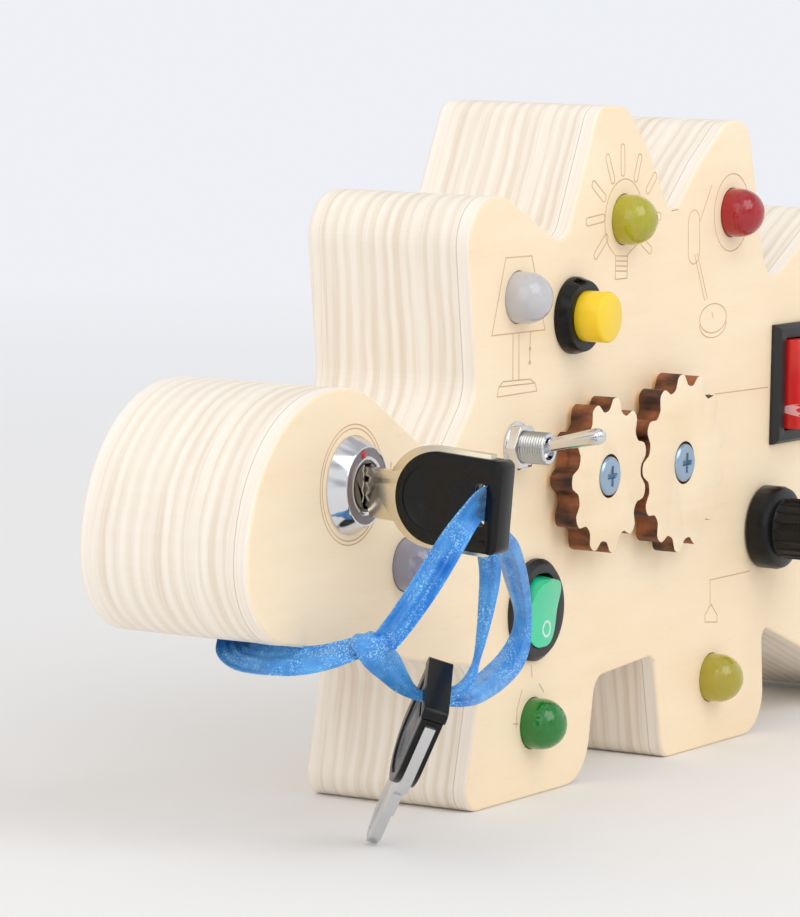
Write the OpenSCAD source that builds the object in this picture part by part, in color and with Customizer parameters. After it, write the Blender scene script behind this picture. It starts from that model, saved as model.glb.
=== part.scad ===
// Wooden busy board in the shape of a plated dinosaur, standing on its feet.
// Millimetres, +Z up. X runs along the board, the front face looks towards -Y.
// The origin is at the middle of the length and depth, on the ground.

/* [Board] */
// Length of the board, from the nose to the tip of the tail
board_l = 300; // [290:1:320]
// Height that the outline is drawn to, ground to the line above the plates
board_h = 137; // [132:1:146]
// Thickness of the front panel
front_t = 3; // [3:0.5:4]
// Thickness of the laminated core
core_t = 30; // [28:1:40]
// Thickness of the back panel
back_t = 3; // [3:0.5:4]

/* [Key switch] */
// Diameter of the chrome bezel where it meets the wood
bezel_d = 18.2; // [17.5:0.1:20]
// Diameter of the bezel's flat front
bezel_face_d = 14.3; // [13.5:0.1:15]
// How far the bezel stands out
bezel_h = 3.3; // [2.5:0.1:4.5]
// Diameter of the threaded barrel
barrel_d = 15.8; // [14:0.1:16.5]
// Length of the barrel behind the face
barrel_l = 25; // [20:1:27]
// Diameter of the turning plug
plug_d = 9.4; // [9:0.1:10.5]

/* [Keys] */
// Width of the flat blade
blade_w = 7; // [6.4:0.1:7.2]
// Thickness of the blade and its bow plate
blade_t = 2; // [1.6:0.1:2.4]
// Length of the blade, from the tip to the bow plate
blade_l = 13.6; // [12:0.2:15]
// Width of the moulded head across the key
head_w = 17; // [16:0.2:18]
// Length of the moulded head along the key
head_l = 21.8; // [21:0.2:24]
// Thickness of the moulded head
head_t = 4; // [3.8:0.1:4.6]
// Thickness of the bar at the head's outer end
bar_t = 4.6; // [4.2:0.1:5.4]
// Rim of the bow plate that shows beside the head
bow_rim = 0.8; // [0.6:0.1:1]
// How far the bow plate reaches past the head towards the blade
bow_tip = 2.3; // [1.8:0.1:2.8]
// Width of the slot for the ribbon
slot_w = 2.6; // [2.4:0.1:3]
// Length of the slot
slot_l = 8; // [7:0.2:9]

/* [Lamps] */
// Diameter of the lamps
lamp_d = 10; // [9:0.5:10.5]
// How far the lamps stand out
lamp_h = 7; // [6:0.5:9]

/* [Push button] */
// Diameter of the collar
collar_d = 15.2; // [14.5:0.1:16]
// How far the collar stands out
collar_h = 3.2; // [2.5:0.1:4]
// Diameter of the cap
cap_d = 10; // [9:0.1:10.4]
// How far the cap stands out
cap_h = 8.7; // [7:0.1:10]
// Travel of the cap
cap_travel = 2.5; // [1:0.1:3]

/* [Toggle switch] */
// Thread diameter of the bushing
bushing_d = 5.9; // [5.8:0.1:6.4]
// How far the bushing stands out
bushing_h = 7.5; // [6.5:0.1:9]
// How far the tip of the lever stands out
lever_h = 19.5; // [17:0.5:24]
// Tilt of the lever to each side
lever_tilt = 13; // [8:1:13]

/* [Gears] */
// Size of a tooth, as pitch diameter over number of teeth
tooth_m = 2.65; // [2.5:0.01:2.8]
// Teeth of the small gear
small_n = 11; // [11:1:11]
// Teeth of the large gear
large_n = 13; // [13:1:13]
// Thickness of the gears
gear_t = 5; // [4:0.5:6]
// Height of the spacers that the gears run on
spacer_h = 0.8; // [0.6:0.1:2]
// Diameter of the gear screws
pivot_d = 4; // [3:0.5:5]

/* [Rocker switches] */
// Width of the square rocker's frame
rocker_w = 31; // [31:0.5:32]
// Height of the square rocker's frame
rocker_l = 25.4; // [25:0.2:26]
// How far the frame stands out
rocker_h = 2; // [1.6:0.1:3]
// Diameter of the round rocker's bezel
round_d = 20; // [19:0.5:22]
// How far the bezel stands out
round_h = 2; // [1.6:0.1:3]

/* [Selector knob] */
// Diameter of the knob's skirt
skirt_d = 17.5; // [16.5:0.5:20]
// Height of the skirt
skirt_h = 5; // [4.4:0.1:6]
// Diameter of the knob's grip
grip_d = 12.3; // [11:0.1:14]
// How far the knob stands out
knob_h = 18; // [14:0.5:20]
// Diameter of the switch's shaft
shaft_d = 6; // [5:0.5:6.5]

/* [Battery] */
// Diameter of a cell
cell_d = 14.2; // [14:0.1:14.6]
// Length of a cell
cell_l = 50; // [49:0.1:51]
// Wall of the battery tray
tray_wall = 1.2; // [1:0.1:2]

/* [Ribbon] */
// Width of the satin ribbon
ribbon_w = 6; // [4:0.5:7]
// Thickness of the gathered ribbon
ribbon_t = 0.8; // [0.6:0.1:1]

/* [Hidden] */

$fn = 64;
run = 0.05;   // radial clearance of a running fit
seat = 0.15;  // clearance of a piece that is put through a hole
gap = 0.3;    // clearance between moving faces
slack = 0.2;  // clearance of a lid in its opening

// The key in the lock sags a little in its keyway, about a point near the bezel's face
key_gap = 4.8;
key_z = bezel_h + key_gap + bow_tip;
key_sag = 4;
key_sag_z = 5;
bar_round = 1.4;
key_reach = key_sag_z + (key_z + head_l - bar_round - key_sag_z) * cos(key_sag)
    + (head_w / 2 - bar_round) * sin(key_sag) + bar_round;
board_t = front_t + core_t + back_t;
front_y = (key_reach - board_t) / 2;
back_z = -board_t;
lid_z = back_z + back_t;

// The drawing that the outline and the places of the pieces are taken from
draw_l = 300;
draw_h = 137;
function spot(p) = [(p.x - draw_l / 2) * board_l / draw_l, p.y * board_h / draw_h];
function spots(list) = let (least = min(board_l / draw_l, board_h / draw_h))
    [for (p = list) [spot(p).x, spot(p).y, p.z * least]];

// Corners of the outline on the drawing: along, up, radius
outline = [
    [0, 42.5, 16], [84.5, 27.8, 5],                          // chin and throat
    [78.2, 0, 4.5], [127, 0, 9.5],                           // front foot
    [130.4, 20.4, 4], [155.2, 22, 3],                        // belly
    [160, 0, 3.5], [206.4, 0, 8.5], [204.2, 22.7, 2],        // hind foot
    [266, 0, 14], [300, 12, 5], [300, 27, 6], [277, 47, 10], // tail
    [268, 93, 7], [250, 83, 6],                              // last plate
    [237, 113, 8], [202.6, 94, 6],
    [192, 130, 6], [182, 129.6, 9], [170.5, 121.6, 10], [158.5, 111, 4],
    [148.8, 124.2, 10], [138.2, 134, 8], [126.8, 134, 5], [113.8, 107, 5],
    [90, 117.8, 12], [75, 117.8, 9], [80.6, 80.5, 9],        // first plate
    [69, 67.6, 7], [37.5, 85.2, 25], [0, 85, 28.8]];         // neck and head

// Corners of the pocket in the core, drawn the same way
pocket = [
    [10, 48.5, 9], [89.5, 37, 5], [89.5, 8.5, 4], [117, 8.5, 5],
    [121, 31, 6], [163.5, 31, 6], [170.5, 8.5, 3], [195.5, 8.5, 5],
    [195.5, 32, 5], [243, 19.5, 6], [262, 40, 8], [258, 76, 8],
    [243, 76, 6], [240, 89.5, 4], [206, 88.5, 4], [195.5, 97, 5],
    [191, 119, 5], [177, 116, 5], [174, 101.5, 5], [151, 101.5, 5],
    [139, 121, 5], [130.5, 116, 5], [129, 101.5, 4], [106, 101.5, 4],
    [103, 108.5, 4], [87.5, 108.5, 5], [89, 79, 8], [73, 59, 8],
    [63, 59, 8], [47, 77.5, 10], [12, 77.5, 14]];

// Centres on the drawing
lock_at = spot([35, 67.3]);
button_at = spot([117.3, 93.5]);
toggle_at = spot([95.6, 69.5]);
large_at = spot([155, 61.8]);
rocker_at = spot([220.5, 73.7]);
round_at = spot([103.9, 36.9]);
knob_at = spot([203.1, 43.9]);
lamp_table_at = spot([95.5, 98.2]);
lamp_bulb_at = spot([137.8, 111.4]);
lamp_desk_at = spot([185.1, 110.9]);
lamp_pendant_at = spot([104.8, 14.5]);
lamp_corner_at = spot([180.7, 14.4]);
lamp_head_at = spot([55.1, 50.7]);
lamps_at = [lamp_table_at, lamp_bulb_at, lamp_desk_at, lamp_pendant_at,
    lamp_corner_at, lamp_head_at];
back_screws_at = [for (p = [[5.5, 60], [84, 113], [135.5, 127.5], [184, 125], [231, 103],
    [268, 84], [284, 20], [183, 4.5], [103, 4.5], [60, 37]]) spot(p)];

// Gear pair: both pitch circles touch on the line between the two pivots
small_r = small_n * tooth_m / 2;
large_r = large_n * tooth_m / 2;
small_at = large_at - [small_r + large_r, 0];
tooth_out = 0.42 * tooth_m;
tooth_in = 0.66 * tooth_m;
gear_z = spacer_h + slack;
pivot_head_d = 2 * pivot_d;
pivot_head_h = 0.5 * pivot_d;
head_sink = 0.4 * pivot_d;
pivot_head_z = gear_z + gear_t - head_sink + slack;

barrel_hole_d = barrel_d + 2 * seat;
lamp_hole_d = lamp_d + 2 * seat;
lamp_flange_t = 1.6;
lead_l = 9;
button_thread_d = 11.8;
button_hole_d = button_thread_d + 2 * seat;
button_body_l = 20;
bushing_hole_d = bushing_d + 2 * seat;
lever_pivot_z = bushing_h - 3;
lever_ball_d = bushing_d - 1.6;
lever_d = 2.6;
frame_hole_w = rocker_w - 3;
frame_hole_l = rocker_l - 3.4;
window_w = rocker_w - 2 * 3.4;
window_l = rocker_l - 2 * 3.1;
rocker_depth = 20;
rocker_tilt = 8;
round_hole_d = round_d - 4;
round_w = 11;
round_l = 14.4;
round_corner = 4.6;
round_tilt = 9;
neck_d = 7;
switch_d = 16.5;
nut_t = 2.2;
cord_hole_d = 7;
cord_hole_low = spot([24, 30]);
cord_hole_high = spot([24, 55]);
cord_hole_z = -board_t / 2;

// Battery tray behind the gears, open towards the back panel
cell_gap = 0.6;
contact_room = 3.5;
tray_in = [cell_l + 2 * contact_room, 2 * cell_d + 3 * cell_gap];
tray_depth = cell_d + 2 * cell_gap;
tray_at = spot([141, 60]);
boss_w = 7;
lid_ledge = 0.6;
lid_size = tray_in + [2 * lid_ledge, 2 * lid_ledge] + [boss_w, 0];
lid_at = tray_at + [boss_w / 2, 0];
lid_screw_at = tray_at + [tray_in.x / 2 + boss_w / 2 + 0.4, 0];

// Key frame: X along the key towards the head, Y across it, Z through it
slot_x = head_l - 4.5;
bar_w = 2.2;
shoulder = [4, 2];   // length and drop of the stop behind the blade
recess = 0.35;       // depth of the panel in each side of the head
recess_rim = 2.4;

// The spare key hangs from the ribbon with its tip on the ground
spare_slot_at = [-114.3, -18.8, 28.6];
spare_turn = [57, -56.5, -115];

// Routes of the ribbon, chosen by hand: the tail in two strands from the hole
// under the chin to the knot, the front strand through the lock's key,
// and the strands behind it down to the spare key
knot_at = [-127.4, -14.8, 39.4];
tail_low = [[-126.4, 17.6, 41], [-127.2, 17.3, 38.2], [-129.2, 15.6, 36.4], [-131.6, 11.5, 35.3],
    [-134.8, 4.5, 35.4], [-134.7, -3, 36], [-133.8, -9.2, 37.2], [-131.4, -13, 38.8]];
tail_high = [[-125.4, 15, 41], [-125.8, 14.7, 38.7], [-128, 12, 37.2], [-130.9, 4, 37.5],
    [-131, -4, 38.4], [-129.8, -10, 40.1], [-128.6, -12.7, 41.3]];
front_run = [[-126.8, -16.8, 41.8], [-125.7, -19.7, 46.1], [-124, -23.7, 52.9],
    [-122.6, -27.2, 59.4], [-120.6, -28.9, 63.4], [-118, -29.3, 65.6], [-115, -29.3, 65.9],
    [-112.4, -29.2, 65.5]];
back_run = [[-110.8, -27.9, 63.4], [-103.3, -26, 59.2], [-95.2, -23.4, 54.9], [-83.1, -18.7, 47],
    [-75.2, -15.7, 38.9], [-78, -15.7, 33], [-88.6, -17.7, 30.3], [-101.5, -20.8, 29.4],
    [-108.2, -22.4, 29.1], [-111.4, -21.1, 29], [-113.4, -18.3, 29.2], [-115.1, -15.9, 30.5],
    [-118, -14.4, 33.2], [-122.1, -14.2, 35.8], [-125, -14.6, 37.4]];
straight_run = [[-107.6, -24.2, 60.3], [-104.4, -24.3, 55.8], [-103.1, -24.2, 51.4],
    [-102.3, -23.2, 45.7], [-102.4, -22.2, 39.2], [-103.8, -22, 35.2]];
facing = [-0.5, -0.86, 0];
facing_up = [-0.35, -0.5, 0.8];

// ---- Helpers ----

function unit(v) = v / norm(v);
function cross_2d(a, b) = a.x * b.y - a.y * b.x;

// Points of one rounded corner b between a and c, each [x, y, radius]
function corner_arc(a, b, c) =
    let (
        back = unit([a.x - b.x, a.y - b.y]),
        on = unit([c.x - b.x, c.y - b.y]),
        side = sign(cross_2d(-back, on)),
        half = acos(back * on) / 2,
        centre = [b.x, b.y] + unit(back + on) * b.z / sin(half),
        first = [b.x, b.y] + back * b.z / tan(half) - centre,
        start = atan2(first.y, first.x),
        turn = side * (180 - 2 * half),
        steps = max(2, ceil(abs(turn) / 8)))
    [for (k = [0:steps])
        centre + b.z * [cos(start + turn * k / steps), sin(start + turn * k / steps)]];

function rounded(corners) =
    let (n = len(corners))
    [for (i = [0:n - 1]) each corner_arc(corners[(i + n - 1) % n], corners[i],
        corners[(i + 1) % n])];

// A board of the outline's shape between two heights
module board(low, high) {
    translate([0, 0, low]) linear_extrude(high - low) polygon(rounded(spots(outline)));
}

// Draws in the plane of the front face: X along, Y up, Z out towards the viewer
module on_face() {
    translate([0, front_y, 0]) rotate([90, 0, 0]) children();
}

module at(p, z = 0) {
    translate([p.x, p.y, z]) children();
}

module disc(d, low, high) {
    translate([0, 0, low]) cylinder(d = d, h = high - low);
}

module hex(across, low, high) {
    translate([0, 0, low]) cylinder(d = across / cos(30), h = high - low, $fn = 6);
}

module block(size, low, high) {
    translate([-size.x / 2, -size.y / 2, low]) cube([size.x, size.y, high - low]);
}

module stadium(length, width, depth) {
    linear_extrude(depth, center = true) {
        square([width, length - width], center = true);
        for (s = [-1, 1]) translate([0, s * (length - width) / 2]) circle(d = width);
    }
}

// A flat cord swept along a route, with its broad side turned one way
function along(route, i) = unit(route[min(i + 1, len(route) - 1)] - route[max(i - 1, 0)]);
function smooth(route) = [for (i = [0:len(route) - 2]) let (
        a = route[max(i - 1, 0)], b = route[i], c = route[i + 1], d = route[min(i + 2, len(route) - 1)])
    for (t = i == len(route) - 2 ? [0, 1 / 2, 1] : [0, 1 / 2])
        0.5 * (2 * b + (c - a) * t + (2 * a - 5 * b + 4 * c - d) * t * t
            + (3 * b - a - 3 * c + d) * t * t * t)];

module ribbon(route, width, thick, facing) {
    line = smooth(route);
    sides = 8;
    last = len(line) - 1;
    points = [for (i = [0:last]) let (
            t = along(line, i), across = unit(cross(t, facing)), out = cross(across, t))
        for (k = [0:sides - 1]) line[i] + across * cos(360 * k / sides) * width / 2
            + out * sin(360 * k / sides) * thick / 2];
    faces = concat(
        [for (i = [0:last - 1]) for (k = [0:sides - 1]) let (m = (k + 1) % sides)
            each [[i * sides + k, (i + 1) * sides + k, i * sides + m],
                [i * sides + m, (i + 1) * sides + k, (i + 1) * sides + m]]],
        [[for (k = [0:sides - 1]) k]],
        [[for (k = [0:sides - 1]) last * sides + sides - 1 - k]]);
    polyhedron(points, faces);
}

// ---- Board ----

module front_panel() {
    color("burlywood") on_face() difference() {
        board(-front_t, 0);
        at(lock_at) disc(barrel_hole_d, -front_t - 1, 1);
        at(button_at) disc(button_hole_d, -front_t - 1, 1);
        at(toggle_at) disc(bushing_hole_d, -front_t - 1, 1);
        at(round_at) disc(round_hole_d + 2 * seat, -front_t - 1, 1);
        at(knob_at) disc(neck_d + 2 * seat, -front_t - 1, 1);
        at(rocker_at) block([frame_hole_w + 2 * seat, frame_hole_l + 2 * seat], -front_t - 1, 1);
        for (p = lamps_at) at(p) disc(lamp_hole_d, -front_t - 1, 1);
        for (p = [small_at, large_at]) at(p) disc(pivot_d + 2 * seat, -front_t - 1, 1);
    }
}

module body_core() {
    color("wheat") on_face() difference() {
        board(lid_z, -front_t);
        translate([0, 0, lid_z - 1]) linear_extrude(core_t + 2) polygon(rounded(spots(pocket)));
        for (p = back_screws_at) at(p) disc(back_screw_d, lid_z - 1, lid_z + 12);
        translate([cord_hole_low.x, cord_hole_low.y, cord_hole_z]) rotate([-90, 0, 0])
            cylinder(d = cord_hole_d, h = cord_hole_high.y - cord_hole_low.y);
    }
}

back_screw_d = 3;
back_screw_head_d = 6;
back_screw_l = 14;

module back_panel() {
    color("burlywood") on_face() difference() {
        board(back_z, lid_z);
        for (p = back_screws_at) at(p, back_z) {
            disc(back_screw_d + 2 * seat, -1, back_t + 1);
            cylinder(d1 = back_screw_head_d, d2 = back_screw_d, h = 1.6);
        }
        at(lid_at) block(lid_size + [2 * slack, 2 * slack], back_z - 1, lid_z + 1);
    }
}

// Countersunk wood screw, its head at z = 0 and its point up
module wood_screw(d, head_d, length) {
    difference() {
        rotate_extrude() polygon([[0, 0], [head_d / 2, 0], [d / 2, 1.6],
            [d / 2, length - 3], [0.2, length], [0, length]]);
        for (a = [0, 90]) rotate(a) block([head_d * 0.55, 0.8], -1, 0.8);
    }
}

module back_screws() {
    color("silver") on_face() for (p = back_screws_at) at(p, back_z)
        wood_screw(back_screw_d, back_screw_head_d - 0.2, back_screw_l - 2);
}

// ---- Battery ----

module battery_tray() {
    outer = tray_in + [2 * tray_wall, 2 * tray_wall];
    color("dimgray") on_face() difference() {
        union() {
            at(tray_at) block(outer, lid_z, lid_z + tray_depth + tray_wall);
            at(lid_screw_at) block([boss_w, 9], lid_z, lid_z + 8);
        }
        at(tray_at) block(tray_in, lid_z - 1, lid_z + tray_depth);
        at(lid_screw_at) disc(2, lid_z - 1, lid_z + 6.5);
        at(tray_at - [tray_in.x / 2 + tray_wall / 2, 0])
            block([tray_wall + 1, 10.4], lid_z - 1, lid_z + 1.4);
    }
}

cells_y = (cell_d + cell_gap) / 2;
cell_z = lid_z + cell_gap + cell_d / 2;

module battery_cells() {
    color("goldenrod") on_face() for (s = [-1, 1])
        translate([tray_at.x, tray_at.y + s * cells_y, cell_z]) rotate([0, 90 * s, 0]) {
            cylinder(d = cell_d, h = cell_l - 1.2, center = true);
            translate([0, 0, cell_l / 2 - 0.6]) cylinder(d = 5.2, h = 1.2);
        }
}

module battery_contacts() {
    color("silver") on_face() for (s = [-1, 1], e = [-1, 1])
        translate([tray_at.x + e * tray_in.x / 2, tray_at.y + s * cells_y, cell_z])
            rotate([0, -90 * e, 0]) {
                translate([-5, -5, 0]) cube([10, 10, 0.5]);
                cylinder(d1 = 8, d2 = 4.6, h = contact_room - 0.6 - 0.02);
            }
}

module battery_cover() {
    color("dimgray") on_face() difference() {
        union() {
            at(lid_at) block(lid_size, back_z, lid_z);
            at(lid_at - [lid_size.x / 2 - 0.8, 0]) block([1.6, 10], lid_z - 1, lid_z + 1.2);
            at(lid_at - [lid_size.x / 2, 0]) block([3, 10], lid_z + 0.2, lid_z + 1.2);
        }
        at(lid_screw_at) disc(2.6, back_z - 1, lid_z + 1);
        at(lid_screw_at, back_z) disc(5, -1, 1.6);
        for (k = [-2:2]) at(tray_at + [3 * k - 18, 0]) block([1, 14], back_z - 1, back_z + 0.6);
    }
}

module battery_cover_screw() {
    color("silver") on_face() at(lid_screw_at, back_z) difference() {
        union() {
            disc(4.4, 0.2, 1.6);
            disc(2, 1.6, 8);
        }
        for (a = [0, 90]) rotate(a) block([2.6, 0.6], -1, 0.9);
    }
}

// ---- Gears ----

// Rounded wooden teeth: a wave with flattened crests and roots
function crest(a) = let (e = exp(2 * 1.5 * (cos(a) - 0.16))) (e - 1) / (e + 1);
function gear_points(n, r) = [for (k = [0:12 * n - 1]) let (
        a = 360 * k / (12 * n), c = crest(n * a),
        reach = r + (c > 0 ? tooth_out : tooth_in) * c)
    reach * [cos(a), sin(a)]];

module gear(n, r) {
    difference() {
        translate([0, 0, gear_z]) linear_extrude(gear_t) polygon(gear_points(n, r));
        disc(pivot_d + 2 * run, gear_z - 1, gear_z + gear_t + 1);
        disc(pivot_head_d + 2 * gap, gear_z + gear_t - head_sink, gear_z + gear_t + 1);
    }
}

module large_gear() {
    color("peru") on_face() at(large_at) rotate(180) gear(large_n, large_r);
}

module small_gear() {
    color("peru") on_face() at(small_at) rotate(180 / small_n) gear(small_n, small_r);
}

module gear_spacers() {
    color("silver") on_face() for (p = [small_at, large_at]) at(p) difference() {
        disc(2.5 * pivot_d, 0, spacer_h);
        disc(pivot_d + 2 * seat, -1, spacer_h + 1);
    }
}

gear_nut_t = 3;

module gear_screws() {
    low = -front_t - gear_nut_t - 1;
    color("lightsteelblue") on_face() for (p = [small_at, large_at]) at(p) difference() {
        union() {
            disc(pivot_d, low, pivot_head_z);
            translate([0, 0, pivot_head_z]) rotate_extrude() polygon(concat([[0, 0]],
                [for (k = [0:6]) let (a = 90 * k / 6)
                    [pivot_head_d / 2 - 0.9 + 0.9 * cos(a), 0.6 + (pivot_head_h - 0.6) * sin(a)]],
                [[0, pivot_head_h]]));
        }
        for (a = [0, 90]) rotate(a)
            block([pivot_head_d * 0.5, 1], pivot_head_z + 0.7, pivot_head_z + pivot_head_h + 1);
    }
}

module gear_nuts() {
    color("silver") on_face() for (p = [small_at, large_at]) at(p) difference() {
        hex(7, -front_t - gear_nut_t, -front_t);
        disc(pivot_d, -front_t - gear_nut_t - 1, 0);
    }
}

// ---- Key switch and keys ----

module lock_body() {
    color("silver") on_face() at(lock_at) difference() {
        rotate_extrude() polygon([[0, -barrel_l], [barrel_d / 2 - 0.8, -barrel_l],
            [barrel_d / 2, -barrel_l + 0.8], [barrel_d / 2, 0], [bezel_d / 2, 0],
            [bezel_d / 2, 0.7], [bezel_face_d / 2 + 0.3, bezel_h], [0, bezel_h]]);
        disc(plug_d + 2 * run, -barrel_l + 2, bezel_h + 1);
    }
    color("goldenrod") on_face() at(lock_at) for (s = [-1, 1])
        translate([4 * s, 0, 0]) block([0.8, 3], -barrel_l - 4, -barrel_l);
}

module lock_nut() {
    color("silver") on_face() at(lock_at) difference() {
        hex(19, -front_t - 3, -front_t);
        disc(barrel_d, -front_t - 4, 0);
    }
}

// The keyway is taller than the blade by the blade's sag
keyway_w = blade_w + 2 * blade_l * sin(key_sag) * 0.7;

module lock_plug() {
    color("gainsboro") on_face() at(lock_at) difference() {
        union() {
            disc(plug_d, -barrel_l + 2 + gap, bezel_h - 0.3);
            disc(plug_d - 0.8, bezel_h - 0.3, bezel_h);
        }
        translate([0, 0, key_z - bow_tip - blade_l - gap])
            block([blade_t + 2 * run, keyway_w], 0, 2 * blade_l);
    }
}

// Round end towards the blade, square end outwards, in the key's own plane
module head_shape(width, start, end) {
    r = width / 2;
    intersection() {
        union() {
            translate([r + start, 0]) circle(r = r);
            translate([start + r, -r]) square([end - r - start, width]);
        }
        translate([start - 1, -r]) square([end - start + 1, width]);
    }
}

module slot_cut() {
    translate([slot_x, 0, 0]) stadium(slot_l, slot_w, 2 * bar_t);
}

blade_x = -bow_tip - blade_l;

module bare_key() {
    difference() {
        union() {
            linear_extrude(blade_t, center = true) difference() {
                head_shape(head_w + 2 * bow_rim, -bow_tip, head_l - bar_w - 1);
                translate([head_l / 2 - 3, 0]) circle(d = 6);
            }
            linear_extrude(blade_t, center = true) polygon([[1, -blade_w / 2],
                [1, blade_w / 2], [blade_x + 3, blade_w / 2], [blade_x, 1.2], [blade_x, -1.2],
                [blade_x + 3, -blade_w / 2], [-bow_tip - shoulder.x, -blade_w / 2],
                [-bow_tip - shoulder.x + 0.8, -blade_w / 2 - shoulder.y],
                [1, -blade_w / 2 - shoulder.y]]);
        }
        for (s = [-1, 1]) translate([blade_x + 1, s * 1.3 - 0.5, s > 0 ? 0.45 : -blade_t])
            cube([blade_l - 5, 1, blade_t - 0.45]);
        slot_cut();
    }
}

dish = 0.75;   // depth of the thumb dish
dish_r = 15;

module bare_head() {
    difference() {
        union() {
            for (s = [-1, 1]) translate([0, 0, s * (head_t + blade_t) / 4])
                linear_extrude((head_t - blade_t) / 2, center = true)
                    head_shape(head_w, 0, head_l - bar_w);
            linear_extrude(blade_t, center = true) translate([head_l / 2 - 3, 0]) circle(d = 6);
            linear_extrude(blade_t, center = true)
                translate([head_l - bar_w - 1, -head_w / 2]) square([1, head_w]);
            translate([head_l - bar_w, 0, 0]) linear_extrude(bar_t, center = true)
                polygon(rounded([[0, -head_w / 2, 0.4], [bar_w, -head_w / 2, bar_round],
                    [bar_w, head_w / 2, bar_round], [0, head_w / 2, 0.4]]));
        }
        for (s = [-1, 1]) translate([0, 0, s * (head_t / 2 + 1 - recess)])
            linear_extrude(2, center = true)
                head_shape(head_w - 2 * recess_rim, recess_rim * 0.6, head_l - bar_w - 0.4);
        for (s = [-1, 1]) translate([head_w * 0.4, 0, s * (head_t / 2 + dish_r - dish)])
            sphere(r = dish_r, $fn = 48);
        slot_cut();
    }
}

module in_lock() {
    on_face() translate([lock_at.x, lock_at.y, key_sag_z]) rotate([key_sag, 0, 0])
        translate([0, 0, key_z - key_sag_z]) rotate([0, -90, 0]) children();
}

module key_blade() {
    color("silver") in_lock() bare_key();
}

module key_head() {
    color("black") in_lock() bare_head();
}

module hanging() {
    translate(spare_slot_at) rotate(spare_turn) translate([-slot_x, 0, 0]) children();
}

module spare_key_blade() {
    color("silver") hanging() bare_key();
}

module spare_key_head() {
    color("black") hanging() bare_head();
}

// ---- Toggle switch ----

module toggle_body() {
    color("darkred") on_face() at(toggle_at) {
        block([8, 13], -front_t - 10, -front_t - 0.6);
        for (k = [-1:1]) translate([0, 4.4 * k, 0]) block([2, 0.8], -front_t - 14, -front_t - 10);
    }
}

module toggle_bushing() {
    color("silver") on_face() at(toggle_at) difference() {
        union() {
            disc(bushing_d, -front_t, bushing_h);
            block([8, 13], -front_t - 0.6, -front_t);
        }
        disc(lever_ball_d + 2 * run, 1, bushing_h + 1);
    }
}

module toggle_nut() {
    color("silver") on_face() at(toggle_at) difference() {
        union() {
            disc(9.6, 0, 0.5);
            hex(8, 0.5, 2.4);
        }
        disc(bushing_d, -1, 3);
    }
}

module toggle_lever() {
    reach = (lever_h - lever_pivot_z) / cos(lever_tilt);
    tip = 1.6;
    color("silver") on_face() at(toggle_at, lever_pivot_z) rotate([-lever_tilt, 0, 0]) {
        sphere(d = lever_ball_d);
        rotate_extrude() polygon(concat([[0, 0], [lever_d / 2, 0], [lever_d / 2, 5],
            [tip, reach - 3]], [for (k = [0:6]) let (a = 90 * k / 6)
            [tip * cos(a), reach - tip + tip * sin(a)]]));
    }
}

// ---- Push button ----

module button_body() {
    color("black") on_face() at(button_at) difference() {
        rotate_extrude() polygon([[0, -button_body_l], [button_thread_d / 2, -button_body_l],
            [button_thread_d / 2, 0], [collar_d / 2, 0], [collar_d / 2, 1],
            [collar_d / 2 - 0.7, collar_h], [0, collar_h]]);
        disc(cap_d + 2 * run, -cap_travel - 1.5, collar_h + 1);
        disc(6 + 2 * run, -button_body_l + 2, 1);
        rotate(105) translate([collar_d / 2, 0, 0]) block([2.4, 2.2], 1.4, collar_h + 1);
    }
    color("silver") on_face() at(button_at) for (s = [-1, 1])
        translate([3 * s, 0, 0]) block([0.8, 2.4], -button_body_l - 4, -button_body_l);
}

module button_nut() {
    color("silver") on_face() at(button_at) difference() {
        hex(14, -front_t - 2.4, -front_t);
        disc(button_thread_d, -front_t - 3, 0);
    }
}

module button_cap() {
    color("gold") on_face() at(button_at) rotate_extrude() polygon([[0, -button_body_l + 5.5],
        [3, -button_body_l + 5.5], [3, -1], [cap_d / 2, -1], [cap_d / 2, cap_h - 0.8],
        [cap_d / 2 - 0.25, cap_h - 0.25], [cap_d / 2 - 0.8, cap_h], [0, cap_h]]);
}

// ---- Rocker switches ----

module rocker_frame() {
    inner = [window_w, window_l];
    color("dimgray") on_face() at(rocker_at) difference() {
        union() {
            hull() {
                block([rocker_w, rocker_l], 0, 0.8);
                block([rocker_w - 1.6, rocker_l - 1.6], 0, rocker_h);
            }
            block([frame_hole_w, frame_hole_l], -rocker_depth, 0);
            for (x = [-8, 0, 8], y = [-5, 5]) translate([x, y, 0])
                block([0.8, 4.8], -rocker_depth - 7, -rocker_depth);
        }
        block(inner + [2 * seat, 2 * seat], -9, rocker_h + 1);
    }
}

// Two flats that meet in a shallow valley, over a round back, seen along the pivot
module rocker_profile(length, rise, tilt) {
    difference() {
        intersection() {
            circle(r = norm([length / 2, rise]), $fn = 96);
            translate([-length / 2, -4.5]) square([length, 4.5 + rise + 2]);
        }
        for (s = [-1, 1]) rotate(s * tilt) translate([s > 0 ? 0 : -length, rise - 1.2]) square([length, 12]);
    }
}

// The same with one hollow sweep in place of the two flats
module dished_profile(length, rise, tilt) {
    dip_r = length / 4 / tan(tilt);
    difference() {
        intersection() {
            circle(r = norm([length / 2, rise]), $fn = 96);
            translate([-length / 2, -4.5]) square([length, 4.5 + rise + 2]);
        }
        translate([0, rise - 1.2 + dip_r]) circle(r = dip_r, $fn = 180);
    }
}

module rounded_pad(size, corner) {
    polygon(rounded([[-size.x / 2, -size.y / 2, corner], [size.x / 2, -size.y / 2, corner],
        [size.x / 2, size.y / 2, corner], [-size.x / 2, size.y / 2, corner]]));
}

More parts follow.
